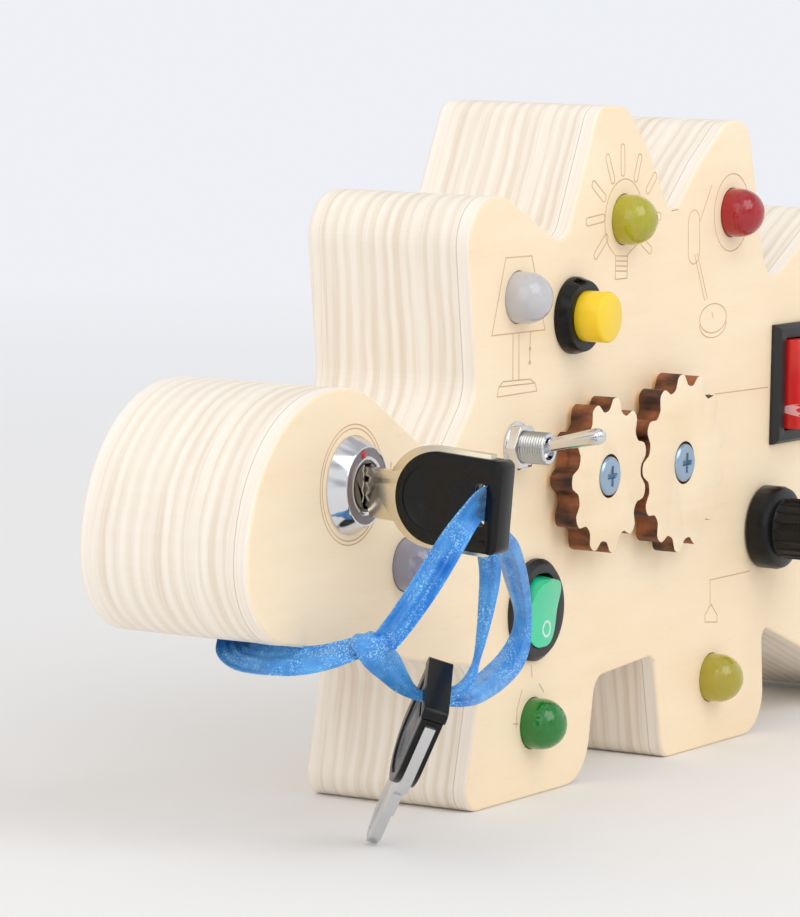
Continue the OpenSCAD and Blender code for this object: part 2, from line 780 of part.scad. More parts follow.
module rocker_actuator() {
    color("red") on_face() at(rocker_at) rotate([0, rocker_tilt, 0]) rotate([90, 0, 0])
        linear_extrude(window_l - 2 * seat, center = true)
            rocker_profile(window_w - 1.2, rocker_h + 1.6, rocker_tilt);
}

module round_rocker_body() {
    color("black") on_face() at(round_at) difference() {
        union() {
            rotate_extrude() polygon([[0, -rocker_depth + 4], [round_hole_d / 2, -rocker_depth + 4],
                [round_hole_d / 2, 0], [round_d / 2, 0], [round_d / 2, 1],
                [round_d / 2 - 1, round_h], [0, round_h]]);
            for (y = [-4, 4]) translate([0, y, 0]) block([4.8, 0.8], -rocker_depth - 2, -rocker_depth + 5);
        }
        translate([0, 0, -8]) linear_extrude(round_h + 9)
            rounded_pad([round_w + 2 * seat, round_l + seat], round_corner);
    }
}

module round_rocker_actuator() {
    color("mediumaquamarine") on_face() at(round_at) rotate([round_tilt, 0, 0])
        intersection() {
            rotate([90, 0, 90]) linear_extrude(round_w, center = true)
                dished_profile(round_l - 1, round_h + 1.6, round_tilt);
            linear_extrude(2 * rocker_depth, center = true)
                rounded_pad([round_w, round_l - 1], round_corner);
        }
}

// ---- Selector knob ----

module knob_switch() {
    color("silver") on_face() at(knob_at) difference() {
        union() {
            disc(switch_d, -front_t - 12, -front_t);
            disc(neck_d, -front_t, nut_t + 0.6);
            for (k = [-1:1]) translate([4 * k, -9, 0]) block([1.2, 5], -front_t - 9, -front_t - 8.4);
        }
        disc(shaft_d + 2 * run, -front_t - 10, nut_t + 2);
    }
}

module knob_nut() {
    color("silver") on_face() at(knob_at) difference() {
        hex(10, 0, nut_t);
        disc(neck_d, -1, nut_t + 1);
    }
}

knob_z = 0.5;
knob_bore_z = knob_h - 3;

module d_shaft(d, low, high) {
    difference() {
        disc(d, low, high);
        translate([d / 2 - 1.2, -d / 2, low + 14]) cube([2, d, high - low]);
    }
}

module knob_shaft() {
    color("silver") on_face() at(knob_at) d_shaft(shaft_d, -front_t - 10 + gap, knob_bore_z - gap);
}

module knob() {
    skirt_top = knob_z + skirt_h;
    color("black") on_face() at(knob_at) difference() {
        union() {
            rotate_extrude() polygon([[0, knob_z], [skirt_d / 2, knob_z], [skirt_d / 2, skirt_top - 1.4],
                [skirt_d / 2 - 0.4, skirt_top - 0.4], [skirt_d / 2 - 1.4, skirt_top],
                [grip_d / 2 + 0.3, skirt_top], [grip_d / 2, skirt_top + 0.6],
                [grip_d / 2 - 0.3, knob_h - 0.8], [grip_d / 2 - 1, knob_h], [0, knob_h]]);
            for (k = [0:17]) rotate(20 * k) translate([grip_d / 2 - 0.1, 0, 0])
                disc(0.7, skirt_top, knob_h - 1.6);
        }
        disc(12.2, knob_z - 1, nut_t + 1.2);
        disc(shaft_d + 2 * run, knob_z, knob_bore_z);
        translate([0, grip_d / 2 - 1.6, knob_h - 0.5]) block([0.9, 4], 0, 2);
    }
}

// ---- Lamps ----

module lamp(p) {
    on_face() at(p) {
        rotate_extrude() polygon(concat(
            [[0, -front_t - lamp_flange_t], [lamp_d / 2 + 0.7, -front_t - lamp_flange_t],
                [lamp_d / 2 + 0.7, -front_t], [lamp_d / 2, -front_t]],
            [for (k = [0:12]) let (a = 90 * k / 12)
                [lamp_d / 2 * cos(a), lamp_h - lamp_d / 2 + lamp_d / 2 * sin(a)]]));
        for (s = [-1, 1]) translate([1.27 * s, 0, 0])
            block([0.5, 0.5], -front_t - lamp_flange_t - lead_l, -front_t - lamp_flange_t);
    }
}

module lamp_table() { color("lightgray") lamp(lamp_table_at); }
module lamp_bulb() { color("darkkhaki") lamp(lamp_bulb_at); }
module lamp_desk() { color("firebrick") lamp(lamp_desk_at); }
module lamp_pendant() { color("seagreen") lamp(lamp_pendant_at); }
module lamp_corner() { color("darkkhaki") lamp(lamp_corner_at); }
module lamp_head() { color("silver") lamp(lamp_head_at); }

// ---- Ribbon ----

module ribbon_tail() {
    color("cornflowerblue") {
        ribbon(tail_low, ribbon_w * 0.6, ribbon_t, facing_up);
        ribbon(tail_high, ribbon_w * 0.6, ribbon_t, facing_up);
    }
}

module ribbon_knot() {
    color("cornflowerblue") translate(knot_at) rotate([0, 0, 30]) scale([1, 0.8, 1.2])
        sphere(d = 5, $fn = 12);
}

module ribbon_front() {
    color("cornflowerblue") ribbon(front_run, ribbon_w, ribbon_t, facing);
}

module ribbon_back() {
    color("cornflowerblue") {
        ribbon(back_run, ribbon_w * 0.8, ribbon_t, facing_up);
        ribbon(straight_run, ribbon_w * 0.7, ribbon_t, facing);
    }
}

front_panel();
body_core();
back_panel();
back_screws();
battery_tray();
battery_cells();
battery_contacts();
battery_cover();
battery_cover_screw();
large_gear();
small_gear();
gear_spacers();
gear_screws();
gear_nuts();
lock_body();
lock_nut();
lock_plug();
key_blade();
key_head();
toggle_body();
toggle_bushing();
toggle_nut();
toggle_lever();
button_body();
button_nut();
button_cap();
rocker_frame();
rocker_actuator();
round_rocker_body();
round_rocker_actuator();
knob_switch();
knob_nut();
knob_shaft();
knob();
lamp_table();
lamp_bulb();
lamp_desk();
lamp_pendant();
lamp_corner();
lamp_head();
spare_key_blade();
spare_key_head();
ribbon_tail();
ribbon_knot();
ribbon_front();
ribbon_back();
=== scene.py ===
# %% [markdown]
# # A wooden busy board
# A standing plywood board with gears, a key switch, lamps, switches and a spare key on a satin ribbon.
# The board's construction is loaded as a fixed frame, in metres, and every piece is placed where the
# frame says. Lengths written in millimetres are multiplied by MM. The lesson then gives each piece its
# edges, its fine parts and its finish.

# %% Load the frame
import math

import bmesh
import bpy
from mathutils import Matrix, Vector, noise


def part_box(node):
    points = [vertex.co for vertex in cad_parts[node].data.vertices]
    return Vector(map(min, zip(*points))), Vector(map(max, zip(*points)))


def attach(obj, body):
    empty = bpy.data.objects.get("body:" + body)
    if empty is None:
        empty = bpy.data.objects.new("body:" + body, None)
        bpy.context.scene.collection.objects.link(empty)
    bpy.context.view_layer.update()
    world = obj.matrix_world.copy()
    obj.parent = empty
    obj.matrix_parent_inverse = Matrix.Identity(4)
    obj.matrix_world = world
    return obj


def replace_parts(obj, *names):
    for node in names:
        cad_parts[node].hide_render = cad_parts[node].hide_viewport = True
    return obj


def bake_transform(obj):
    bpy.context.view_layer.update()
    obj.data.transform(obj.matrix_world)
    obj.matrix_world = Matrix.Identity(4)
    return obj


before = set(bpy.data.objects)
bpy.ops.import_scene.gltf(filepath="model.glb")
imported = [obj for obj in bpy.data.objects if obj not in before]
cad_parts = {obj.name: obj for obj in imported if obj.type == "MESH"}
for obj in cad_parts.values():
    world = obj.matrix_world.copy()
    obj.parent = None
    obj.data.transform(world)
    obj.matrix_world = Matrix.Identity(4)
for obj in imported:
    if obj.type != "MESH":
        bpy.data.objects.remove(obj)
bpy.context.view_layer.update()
MM = 0.001
FACE_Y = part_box("front_panel")[0].y
BACK_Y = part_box("back_panel")[1].y
FRONT_T = (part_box("front_panel")[1].y - FACE_Y) / MM

# %% [markdown]
# ## Camera
# The photograph looks along the board from its nose, with a long lens. The camera was solved from the
# flat front face: it stands about a metre off, a little above the board, and is rolled by one degree.
# Its axes are written as angles, so that the view can be read: turn, pitch and roll.

# %% Camera
CAMERA_AT = Vector((-0.888788, -0.468543, 0.168604))
TURN, PITCH, ROLL = math.radians(30.5555), math.radians(6.0849), math.radians(1.0566)
SENSOR, FOCAL_PIXELS, PICTURE_HEIGHT = 36, 5000, 917
LENS = FOCAL_PIXELS / PICTURE_HEIGHT * SENSOR
SEES_TO = 30


def add_camera():
    ahead = Vector((math.cos(TURN) * math.cos(PITCH), math.sin(TURN) * math.cos(PITCH),
                    -math.sin(PITCH)))
    right = Vector((math.sin(TURN), -math.cos(TURN), 0))
    up = right.cross(ahead)
    across = math.cos(ROLL) * right + math.sin(ROLL) * up
    above = math.cos(ROLL) * up - math.sin(ROLL) * right
    axes = Matrix((across, above, -ahead)).transposed()
    bpy.ops.object.camera_add(location=CAMERA_AT, rotation=axes.to_euler())
    camera = bpy.context.active_object
    camera.data.sensor_width = SENSOR
    camera.data.lens = LENS
    camera.data.clip_end = SEES_TO
    bpy.context.scene.camera = camera
    return camera


print("lens", round(add_camera().data.lens, 1))

# %% [markdown]
# ## Working by hand, in code
# Each piece is selected, changed in edit mode and left in object mode. These helpers keep that short.
# The last one gives a piece its name, its material and the body that it rides on.

# %% Selecting and editing helpers
# Below these angles, in degrees, neighbouring faces are shaded as one: on solids with flat sides, on
# turned parts, and on soft or round ones.
FLAT_SIDED, TURNED, ROUND = 32, 28, 60


def only(piece):
    """Selects one piece and nothing else."""
    bpy.ops.object.select_all(action="DESELECT")
    piece.select_set(True)
    bpy.context.view_layer.objects.active = piece


def edit(piece, mode):
    only(piece)
    bpy.ops.object.mode_set(mode="EDIT")
    bpy.ops.mesh.select_mode(type=mode)


def leave():
    bpy.ops.object.mode_set(mode="OBJECT")


def everything(piece):
    edit(piece, "VERT")
    bpy.ops.mesh.select_all(action="SELECT")


def clean(piece, near=0.001 * MM):
    """Merges doubles and turns every face outwards."""
    everything(piece)
    bpy.ops.mesh.remove_doubles(threshold=near)
    bpy.ops.mesh.normals_make_consistent(inside=False)
    leave()


def smooth(piece, degrees):
    only(piece)
    bpy.ops.object.shade_smooth_by_angle(angle=math.radians(degrees))


def new_piece(name, mesh):
    """Puts a mesh into the scene as a piece of its own."""
    piece = bpy.data.objects.new(name, mesh)
    bpy.context.scene.collection.objects.link(piece)
    return piece


def settle(piece):
    """Puts a piece's place into its mesh, so that its object sits at the origin."""
    only(piece)
    bpy.ops.object.transform_apply(location=True, rotation=True, scale=True)


def modify(piece, kind, **values):
    """Adds a modifier, sets it and applies it."""
    only(piece)
    added = piece.modifiers.new(kind.title(), kind)
    for key, value in values.items():
        setattr(added, key, value)
    bpy.ops.object.modifier_apply(modifier=added.name)


def finish_piece(piece, name, body, stuff):
    """Names a piece, lets it ride on its body, and gives it a material."""
    piece.name = piece.data.name = name
    piece.data.materials.clear()
    piece.data.materials.append(stuff)
    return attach(piece, body)


# %% [markdown]
# ## Shader groups
# Wood grain, plywood layers and the fine unevenness of plastic and metal are each used by several
# materials. Each is a node group with named inputs, so a material only states its own colours and scale.

# %% Node helpers


def srgb(red, green, blue):
    """A colour as it is seen, 0 to 255, made linear for the shader."""
    seen = [c / 255 for c in (red, green, blue)]
    return (*[c / 12.92 if c < 0.04045 else ((c + 0.055) / 1.055) ** 2.4 for c in seen], 1)


def add(tree, kind, **values):
    node = tree.nodes.new(kind)
    for key, value in values.items():
        setattr(node, key, value)
    return node


def math_node(tree, work, first, second=None, clamp=False):
    node = add(tree, "ShaderNodeMath", operation=work, use_clamp=clamp)
    for socket, value in zip(node.inputs, (first, second)):
        if value is None:
            continue
        if isinstance(value, (int, float)):
            socket.default_value = value
        else:
            tree.links.new(value, socket)
    return node.outputs[0]


def plus(tree, first, second, clamp=False):
    return math_node(tree, "ADD", first, second, clamp)


def minus(tree, first, second):
    return math_node(tree, "SUBTRACT", first, second)


def times(tree, first, second, clamp=False):
    return math_node(tree, "MULTIPLY", first, second, clamp)


def own_place(tree):
    """Where a point lies on its own piece, so that a pattern stays with the piece as it moves."""
    return add(tree, "ShaderNodeTexCoord").outputs["Object"]


def blend_colours(tree, amount, low, high):
    node = add(tree, "ShaderNodeMix", data_type="RGBA")
    for name, value in (("Factor", amount), ("A", low), ("B", high)):
        socket = [s for s in node.inputs if s.name == name and s.enabled][0]
        if hasattr(value, "is_linked"):
            tree.links.new(value, socket)
        else:
            socket.default_value = value
    return [s for s in node.outputs if s.enabled][0]


def noise_node(tree, place, stretch, scale, detail=3, rough=0.55):
    """Noise on a stretched place: a small number along an axis draws the pattern out along it."""
    turn = add(tree, "ShaderNodeMapping")
    turn.inputs["Scale"].default_value = stretch
    tree.links.new(place, turn.inputs["Vector"])
    node = add(tree, "ShaderNodeTexNoise")
    node.inputs["Scale"].default_value = scale
    node.inputs["Detail"].default_value = detail
    node.inputs["Roughness"].default_value = rough
    tree.links.new(turn.outputs[0], node.inputs["Vector"])
    return node.outputs["Fac"]


def between(tree, value, low, high):
    """0 below low, 1 above high, and even in between."""
    node = add(tree, "ShaderNodeMapRange", clamp=True)
    node.inputs["From Min"].default_value = low
    node.inputs["From Max"].default_value = high
    tree.links.new(value, node.inputs["Value"])
    return node.outputs[0]


def group(name, inputs, outputs):
    """An empty node group with its sockets, each input with a value to start from."""
    tree = bpy.data.node_groups.new(name, "ShaderNodeTree")
    for label, value in inputs.items():
        kind = "NodeSocketColor" if isinstance(value, tuple) else "NodeSocketFloat"
        tree.interface.new_socket(label, in_out="INPUT", socket_type=kind).default_value = value
    for label, kind in outputs.items():
        tree.interface.new_socket(label, in_out="OUTPUT", socket_type=f"NodeSocket{kind}")
    return tree, add(tree, "NodeGroupInput").outputs, add(tree, "NodeGroupOutput").inputs


# %% Birch veneer
# A rotary-cut face: slow pale clouds, long faint waves along the board, and short fine pores.
PORE_BROWN = srgb(214, 178, 130)


def birch_group():
    tree, given, result = group(
        "Birch veneer",
        {"Light": srgb(252, 232, 198), "Dark": srgb(240, 212, 168), "Pores": 0.1},
        {"Color": "Color", "Height": "Float"},
    )
    place = own_place(tree)
    clouds = noise_node(tree, place, (18, 18, 34), 1.0, 2)
    waves = noise_node(tree, place, (24, 60, 170), 1.0, 4, 0.6)
    pores = noise_node(tree, place, (160, 900, 2600), 1.0, 2, 0.5)
    tone = math_node(tree, "MULTIPLY_ADD", clouds, 0.6)
    tree.links.new(times(tree, waves, 0.55), tone.node.inputs[2])
    amount = between(tree, tone, 0.38, 0.78)
    wood = blend_colours(tree, amount, given["Light"], given["Dark"])
    fleck = times(tree, between(tree, pores, 0.62, 0.75), given["Pores"])
    tree.links.new(blend_colours(tree, fleck, wood, PORE_BROWN), result["Color"])
    tree.links.new(minus(tree, waves, fleck), result["Height"])
    return tree


# %% Plywood layers
# On the cut edge the layers lie parallel to the face. They differ only a little: soft stripes, each with
# its own depth of tone, fine streaks that follow them, a thin broken glue line beside some of them, and a
# darker joint behind the front board. The layers wander within a span of four millimetres.
WANDER = 4.0
STREAK_TONE, BROAD_TONE, SEAM_TONE, JOINT_TONE = 0.2, 0.3, 0.2, 0.55


def ply_group():
    tree, given, result = group(
        "Ply layers",
        {"Layer": 2.9, "Contrast": 0.4, "Pale": srgb(252, 242, 228), "Tan": srgb(232, 212, 186),
         "Glue": srgb(172, 146, 118)},
        {"Color": "Color", "Height": "Float"},
    )
    place = own_place(tree)
    apart = add(tree, "ShaderNodeSeparateXYZ")
    tree.links.new(place, apart.inputs[0])
    drift = noise_node(tree, place, (26, 45, 26), 1.0, 3)
    straight = times(tree, minus(tree, apart.outputs["Y"], FACE_Y), 1 / MM)
    bend = times(tree, minus(tree, drift, 0.5), WANDER)
    count = math_node(tree, "DIVIDE", plus(tree, straight, bend), given["Layer"])
    wave = math_node(tree, "PINGPONG", count, 0.5)
    stripe = between(tree, wave, 0.1, 0.4)
    own = add(tree, "ShaderNodeTexWhiteNoise", noise_dimensions="1D")
    tree.links.new(math_node(tree, "ROUND", count), own.inputs["W"])
    along = noise_node(tree, place, (30, 90, 30), 1.0, 2)
    strength = times(tree, plus(tree, own.outputs["Value"], 0.25), given["Contrast"])
    strength = times(tree, strength, plus(tree, along, 0.5))
    amount = times(tree, stripe, strength, clamp=True)
    streaks = noise_node(tree, place, (26, 1500, 26), 1.0, 4, 0.65)
    broad = noise_node(tree, place, (18, 260, 18), 1.0, 3)
    amount = plus(tree, amount, times(tree, between(tree, streaks, 0.42, 0.72), STREAK_TONE))
    amount = plus(tree, amount, times(tree, between(tree, broad, 0.45, 0.75), BROAD_TONE), clamp=True)
    wood = blend_colours(tree, amount, given["Pale"], given["Tan"])
    edge = math_node(tree, "ABSOLUTE", minus(tree, wave, 0.3))
    seam = minus(tree, 1, between(tree, edge, 0.0, 0.05))
    seam = times(tree, seam, times(tree, between(tree, broad, 0.42, 0.66), SEAM_TONE))
    wood = blend_colours(tree, seam, wood, given["Glue"])
    joint = math_node(tree, "ABSOLUTE", minus(tree, straight, FRONT_T))
    joint = times(tree, minus(tree, 1, between(tree, joint, 0.04, 0.16)), JOINT_TONE)
    wood = blend_colours(tree, joint, wood, given["Glue"])
    tree.links.new(wood, result["Color"])
    tree.links.new(minus(tree, streaks, times(tree, amount, 0.5)), result["Height"])
    return tree


# %% Fine unevenness
# Moulded plastic and plated metal are never quite even: a slow change of tone and shine, fine grain.
BLACK = (0, 0, 0, 1)


def uneven_group():
    tree, given, result = group(
        "Fine unevenness",
        {"Base": (0.5, 0.5, 0.5, 1), "Tone": 0.08, "Shine": 0.35, "Shine change": 0.08, "Grain": 2500.0},
        {"Color": "Color", "Roughness": "Float", "Height": "Float"},
    )
    place = own_place(tree)
    slow = noise_node(tree, place, (120, 120, 120), 1.0, 3)
    fine = add(tree, "ShaderNodeTexNoise")
    fine.inputs["Detail"].default_value = 2
    tree.links.new(place, fine.inputs["Vector"])
    tree.links.new(given["Grain"], fine.inputs["Scale"])
    shade = times(tree, between(tree, slow, 0.3, 0.7), given["Tone"])
    tree.links.new(blend_colours(tree, shade, given["Base"], BLACK), result["Color"])
    change = times(tree, minus(tree, slow, 0.5), given["Shine change"])
    tree.links.new(plus(tree, given["Shine"], times(tree, change, 2)), result["Roughness"])
    tree.links.new(fine.outputs["Fac"], result["Height"])
    return tree


BIRCH, PLY, UNEVEN = birch_group(), ply_group(), uneven_group()
print("groups", [g.name for g in (BIRCH, PLY, UNEVEN)])

# %% [markdown]
# ## Materials
# Wood mixes two of the groups by the direction of the surface: the faces show veneer, the cut edges show
# layers. The laser leaves the gears' edges scorched, so there the layers are brown.

# %% Material helpers


def new_material(name, roughness, **shader):
    stuff = bpy.data.materials.new(name)
    stuff.use_nodes = True
    principled = stuff.node_tree.nodes["Principled BSDF"]
    principled.inputs["Roughness"].default_value = roughness
    for label, value in shader.items():
        principled.inputs[label.replace("_", " ").title().replace("Ior", "IOR")].default_value = value
    return stuff, stuff.node_tree, principled


def use_group(tree, shared, **values):
    node = add(tree, "ShaderNodeGroup", node_tree=shared)
    for label, value in values.items():
        node.inputs[label.replace("_", " ")].default_value = value
    return node.outputs


def bump(tree, principled, height, strength, distance):
    node = add(tree, "ShaderNodeBump")
    node.inputs["Strength"].default_value = strength
    node.inputs["Distance"].default_value = distance
    tree.links.new(height, node.inputs["Height"])
    tree.links.new(node.outputs[0], principled.inputs["Normal"])


def facing_out(tree):
    """1 on the two broad faces of the board, 0 on its cut edges."""
    way = add(tree, "ShaderNodeSeparateXYZ")
    tree.links.new(add(tree, "ShaderNodeTexCoord").outputs["Normal"], way.inputs[0])
    return between(tree, math_node(tree, "ABSOLUTE", way.outputs["Y"]), 0.35, 0.6)


def plain(name, colour, roughness, tone=0.08, grain=2500.0, relief=0.05, change=0.06, **shader):
    """A moulded or plated finish of one colour."""
    stuff, tree, principled = new_material(name, roughness, **shader)
    made = use_group(tree, UNEVEN, Base=colour, Tone=tone, Shine=roughness, Shine_change=change,
                     Grain=grain)
    tree.links.new(made["Color"], principled.inputs["Base Color"])
    tree.links.new(made["Roughness"], principled.inputs["Roughness"])
    bump(tree, principled, made["Height"], relief, 0.02 * MM)
    return stuff


# %% Wood
# The wood has a breath of finish on it, and its grain can just be felt.
THIN_FINISH = {"coat_weight": 0.08, "coat_roughness": 0.4}
GRAIN_STRENGTH, GRAIN_DEPTH = 0.3, 0.05 * MM


def board_wood(name, light, dark, pale, tan, contrast):
    stuff, tree, principled = new_material(name, 0.5, **THIN_FINISH)
    face = use_group(tree, BIRCH, Light=light, Dark=dark)
    cut = use_group(tree, PLY, Pale=pale, Tan=tan, Contrast=contrast)
    out = facing_out(tree)
    tree.links.new(blend_colours(tree, out, cut["Color"], face["Color"]), principled.inputs["Base Color"])
    height = add(tree, "ShaderNodeMix", data_type="FLOAT")
    for i, value in ((0, out), (2, cut["Height"]), (3, face["Height"])):
        tree.links.new(value, height.inputs[i])
    bump(tree, principled, height.outputs[0], GRAIN_STRENGTH, GRAIN_DEPTH)
    return stuff


def scorched_wood():
    """Gear wood: veneer on the face, burnt brown on the laser-cut edge, in patches, with darker bands
    along its layers.
    """
    stuff, tree, principled = new_material("Gear wood", 0.55, **THIN_FINISH)
    face = use_group(tree, BIRCH, Light=srgb(252, 234, 204), Dark=srgb(242, 216, 176))
    place = own_place(tree)
    burn = noise_node(tree, place, (300, 120, 300), 1.0, 3, 0.5)
    layers = noise_node(tree, place, (60, 900, 60), 1.0, 2)
    brown = blend_colours(tree, between(tree, burn, 0.36, 0.66), srgb(44, 20, 12), srgb(164, 96, 54))
    brown = blend_colours(tree, times(tree, between(tree, layers, 0.5, 0.7), 0.5), brown, srgb(84, 42, 24))
    out = facing_out(tree)
    tree.links.new(blend_colours(tree, out, brown, face["Color"]), principled.inputs["Base Color"])
    bump(tree, principled, face["Height"], GRAIN_STRENGTH, GRAIN_DEPTH)
    return stuff


PANEL_WOOD = board_wood("Board face", srgb(255, 236, 204), srgb(251, 225, 188), srgb(254, 245, 232),
                        srgb(240, 222, 200), 0.3)
CORE_WOOD = board_wood("Board core", srgb(250, 230, 196), srgb(240, 212, 170), srgb(253, 244, 230),
                       srgb(226, 205, 178), 0.4)
GEAR_WOOD = scorched_wood()
ENGRAVED = plain("Engraved line", srgb(226, 190, 146), 0.75, tone=0.25, grain=900.0)

# %% Metals and plastics

CHROME = plain("Chrome", srgb(222, 222, 224), 0.1, tone=0.03, relief=0.03, change=0.05, metallic=1.0)
STEEL = plain("Steel", srgb(188, 186, 180), 0.28, tone=0.1, metallic=1.0)
LOCK_SATIN = plain("Lock face", srgb(142, 132, 131), 0.42, tone=0.12, relief=0.2, metallic=0.7)
LOCK_DARK = plain("Lock plug", srgb(128, 120, 114), 0.36, tone=0.3, relief=0.4, grain=900.0, metallic=0.9)
ZINC = plain("Zinc", srgb(168, 190, 210), 0.3, tone=0.15, metallic=0.9)
KEY_BLACK = plain("Key head", srgb(13, 13, 13), 0.27, tone=0.15, relief=0.1, specular_ior_level=0.28)
FRAME_GREY = plain("Switch frame", srgb(38, 38, 40), 0.4, tone=0.12, relief=0.1, specular_ior_level=0.4)
KNOB_BLACK = plain("Knob", srgb(14, 14, 15), 0.3, tone=0.12, relief=0.08, specular_ior_level=0.3)
COLLAR_BLACK = plain("Button collar", srgb(14, 14, 15), 0.28, tone=0.1, specular_ior_level=0.3)
BUTTON_YELLOW = plain("Button cap", srgb(255, 214, 32), 0.32, tone=0.06, subsurface_weight=0.12,
                      subsurface_scale=2 * MM, coat_weight=0.25)
SWITCH_RED = plain("Red rocker", srgb(226, 28, 26), 0.24, tone=0.12, subsurface_weight=0.15,
                   subsurface_scale=2 * MM, coat_weight=0.5, coat_roughness=0.1)
SWITCH_GREEN = plain("Green rocker", srgb(36, 214, 158), 0.2, tone=0.08, subsurface_weight=0.2,
                     subsurface_scale=2 * MM, coat_weight=0.6, coat_roughness=0.06)
MARK_PALE = plain("Switch mark", srgb(206, 240, 226), 0.45, tone=0.05)
MARK_PINK = plain("Red switch mark", srgb(246, 176, 176), 0.45, tone=0.05)
DOT_RED = plain("Red dot", srgb(190, 10, 44), 0.25, tone=0.2, coat_weight=0.5)
SWITCH_BROWN = plain("Switch body", srgb(126, 34, 26), 0.4)
HOUSING = plain("Battery housing", srgb(62, 62, 64), 0.5, tone=0.12, relief=0.15)
CELL = plain("Cell sleeve", srgb(186, 150, 74), 0.35, metallic=0.6)


# Within these distances of a key's slot its metal fades to black: painted shade in the slot.
SLOT_SHADE_WITHIN, SLOT_SHADE_ENDS = 4.6 * MM, 4.8 * MM
BOW_SLOT, SPARE_SLOT = Vector((-115, -29.3, 65.9)) * MM, Vector((-114.3, -18.8, 28.6)) * MM


def key_metal(name, colour, slot):
    """Plated steel. Round the slot of the bow it is painted black and not metallic: painted shade in the
    slot.
    """
    stuff = plain(name, colour, 0.24, tone=0.06, metallic=1.0)
    tree = stuff.node_tree
    principled = tree.nodes["Principled BSDF"]
    made = principled.inputs["Base Color"].links[0].from_socket
    place = own_place(tree)
    away = add(tree, "ShaderNodeVectorMath", operation="DISTANCE")
    tree.links.new(place, away.inputs[0])
    away.inputs[1].default_value = slot
    # Painted shade: near the slot the metal turns black and stops being metal.
    slot_shade = minus(tree, 1, between(tree, away.outputs["Value"], SLOT_SHADE_WITHIN, SLOT_SHADE_ENDS))
    tree.links.new(blend_colours(tree, slot_shade, made, srgb(15, 15, 15)), principled.inputs["Base Color"])
    tree.links.new(minus(tree, 1, slot_shade), principled.inputs["Metallic"])
    return stuff


# The bow's metal is tinted beige: a painted reflection of the wood beside it. The spare key's metal is
# plain grey.
BOW_NICKEL_WOOD_REFLECTION = key_metal("Nickel with painted wood reflection", srgb(222, 212, 190), BOW_SLOT)
SPARE_NICKEL = key_metal("Spare nickel", srgb(214, 214, 214), SPARE_SLOT)


def lamp_lens(name, colour, milk=0.45):
    """The milky moulded lens of an indicator lamp: light soaks in, and the surface stays glossy."""
    return plain(name, colour, 0.15, tone=0.14, relief=0.02, change=0.03, subsurface_weight=milk,
                 subsurface_scale=2.5 * MM, coat_weight=0.5, coat_roughness=0.05)


LENSES = {
    "lamp_table": lamp_lens("Lens white", srgb(198, 197, 200), 0.3),
    "lamp_bulb": lamp_lens("Lens lime", srgb(182, 174, 38), 0.3),
    "lamp_desk": lamp_lens("Lens red", srgb(170, 6, 22), 0.06),
    "lamp_pendant": lamp_lens("Lens green", srgb(18, 126, 38), 0.1),
    "lamp_corner": lamp_lens("Lens lime low", srgb(178, 166, 48), 0.3),
    "lamp_head": lamp_lens("Lens grey", srgb(152, 151, 168)),
}

# %% Satin


def satin():
    """Blue satin: a soft sheen, painted light and shade of folds, and glitter threads with painted glints.
    """
    stuff, tree, principled = new_material("Blue satin", 0.36, sheen_weight=0.15, sheen_roughness=0.3,
                                           specular_ior_level=0.7)
    principled.inputs["Sheen Tint"].default_value = srgb(150, 200, 255)
    place = own_place(tree)
    along = add(tree, "ShaderNodeUVMap", uv_map="ribbon").outputs[0]
    weave = noise_node(tree, along, (900, 60, 1), 1.0, 2)
    glitter = noise_node(tree, place, (3000, 3000, 3000), 1.0, 2, 0.6)
    patches = noise_node(tree, place, (240, 240, 240), 1.0, 2)
    painted_fold_shade = noise_node(tree, place, (150, 150, 150), 1.0, 2)
    # A lit blue and a shaded blue in fold-sized patches: painted light and shade of folds.
    blue = blend_colours(tree, between(tree, painted_fold_shade, 0.3, 0.7), srgb(34, 122, 208), srgb(74, 168, 240))
    blue = blend_colours(tree, times(tree, between(tree, weave, 0.4, 0.7), 0.3), blue, srgb(18, 88, 178))
    # Glitter threads are real, but their flashes are painted: pale specks in patches, with a lower
    # roughness, are painted glints.
    spark = between(tree, glitter, 0.52, 0.62)
    painted_glints = times(tree, spark, between(tree, patches, 0.34, 0.56))
    tree.links.new(blend_colours(tree, painted_glints, blue, srgb(160, 218, 255)), principled.inputs["Base Color"])
    tree.links.new(minus(tree, 0.42, times(tree, spark, 0.2)), principled.inputs["Roughness"])
    bump(tree, principled, plus(tree, weave, glitter), 0.6, 0.05 * MM)
    return stuff


SATIN = satin()
print("materials", len(bpy.data.materials))

# %% [markdown]
# ## The ribbon
# A thin satin ribbon is tied through the holes of both keys. It is a soft flat cord, so it comes first.
# Each stretch follows listed stops: a place, the way in which the width lies, and the width that
# is left where the ribbon is gathered. It is swept as a creased strip with a real thickness, because a
# flat tape would look stiff: where it goes through a hole it narrows, and round the knot it is broad.

# %% Stops of the ribbon, in millimetres: x, y, z, way of the width, width

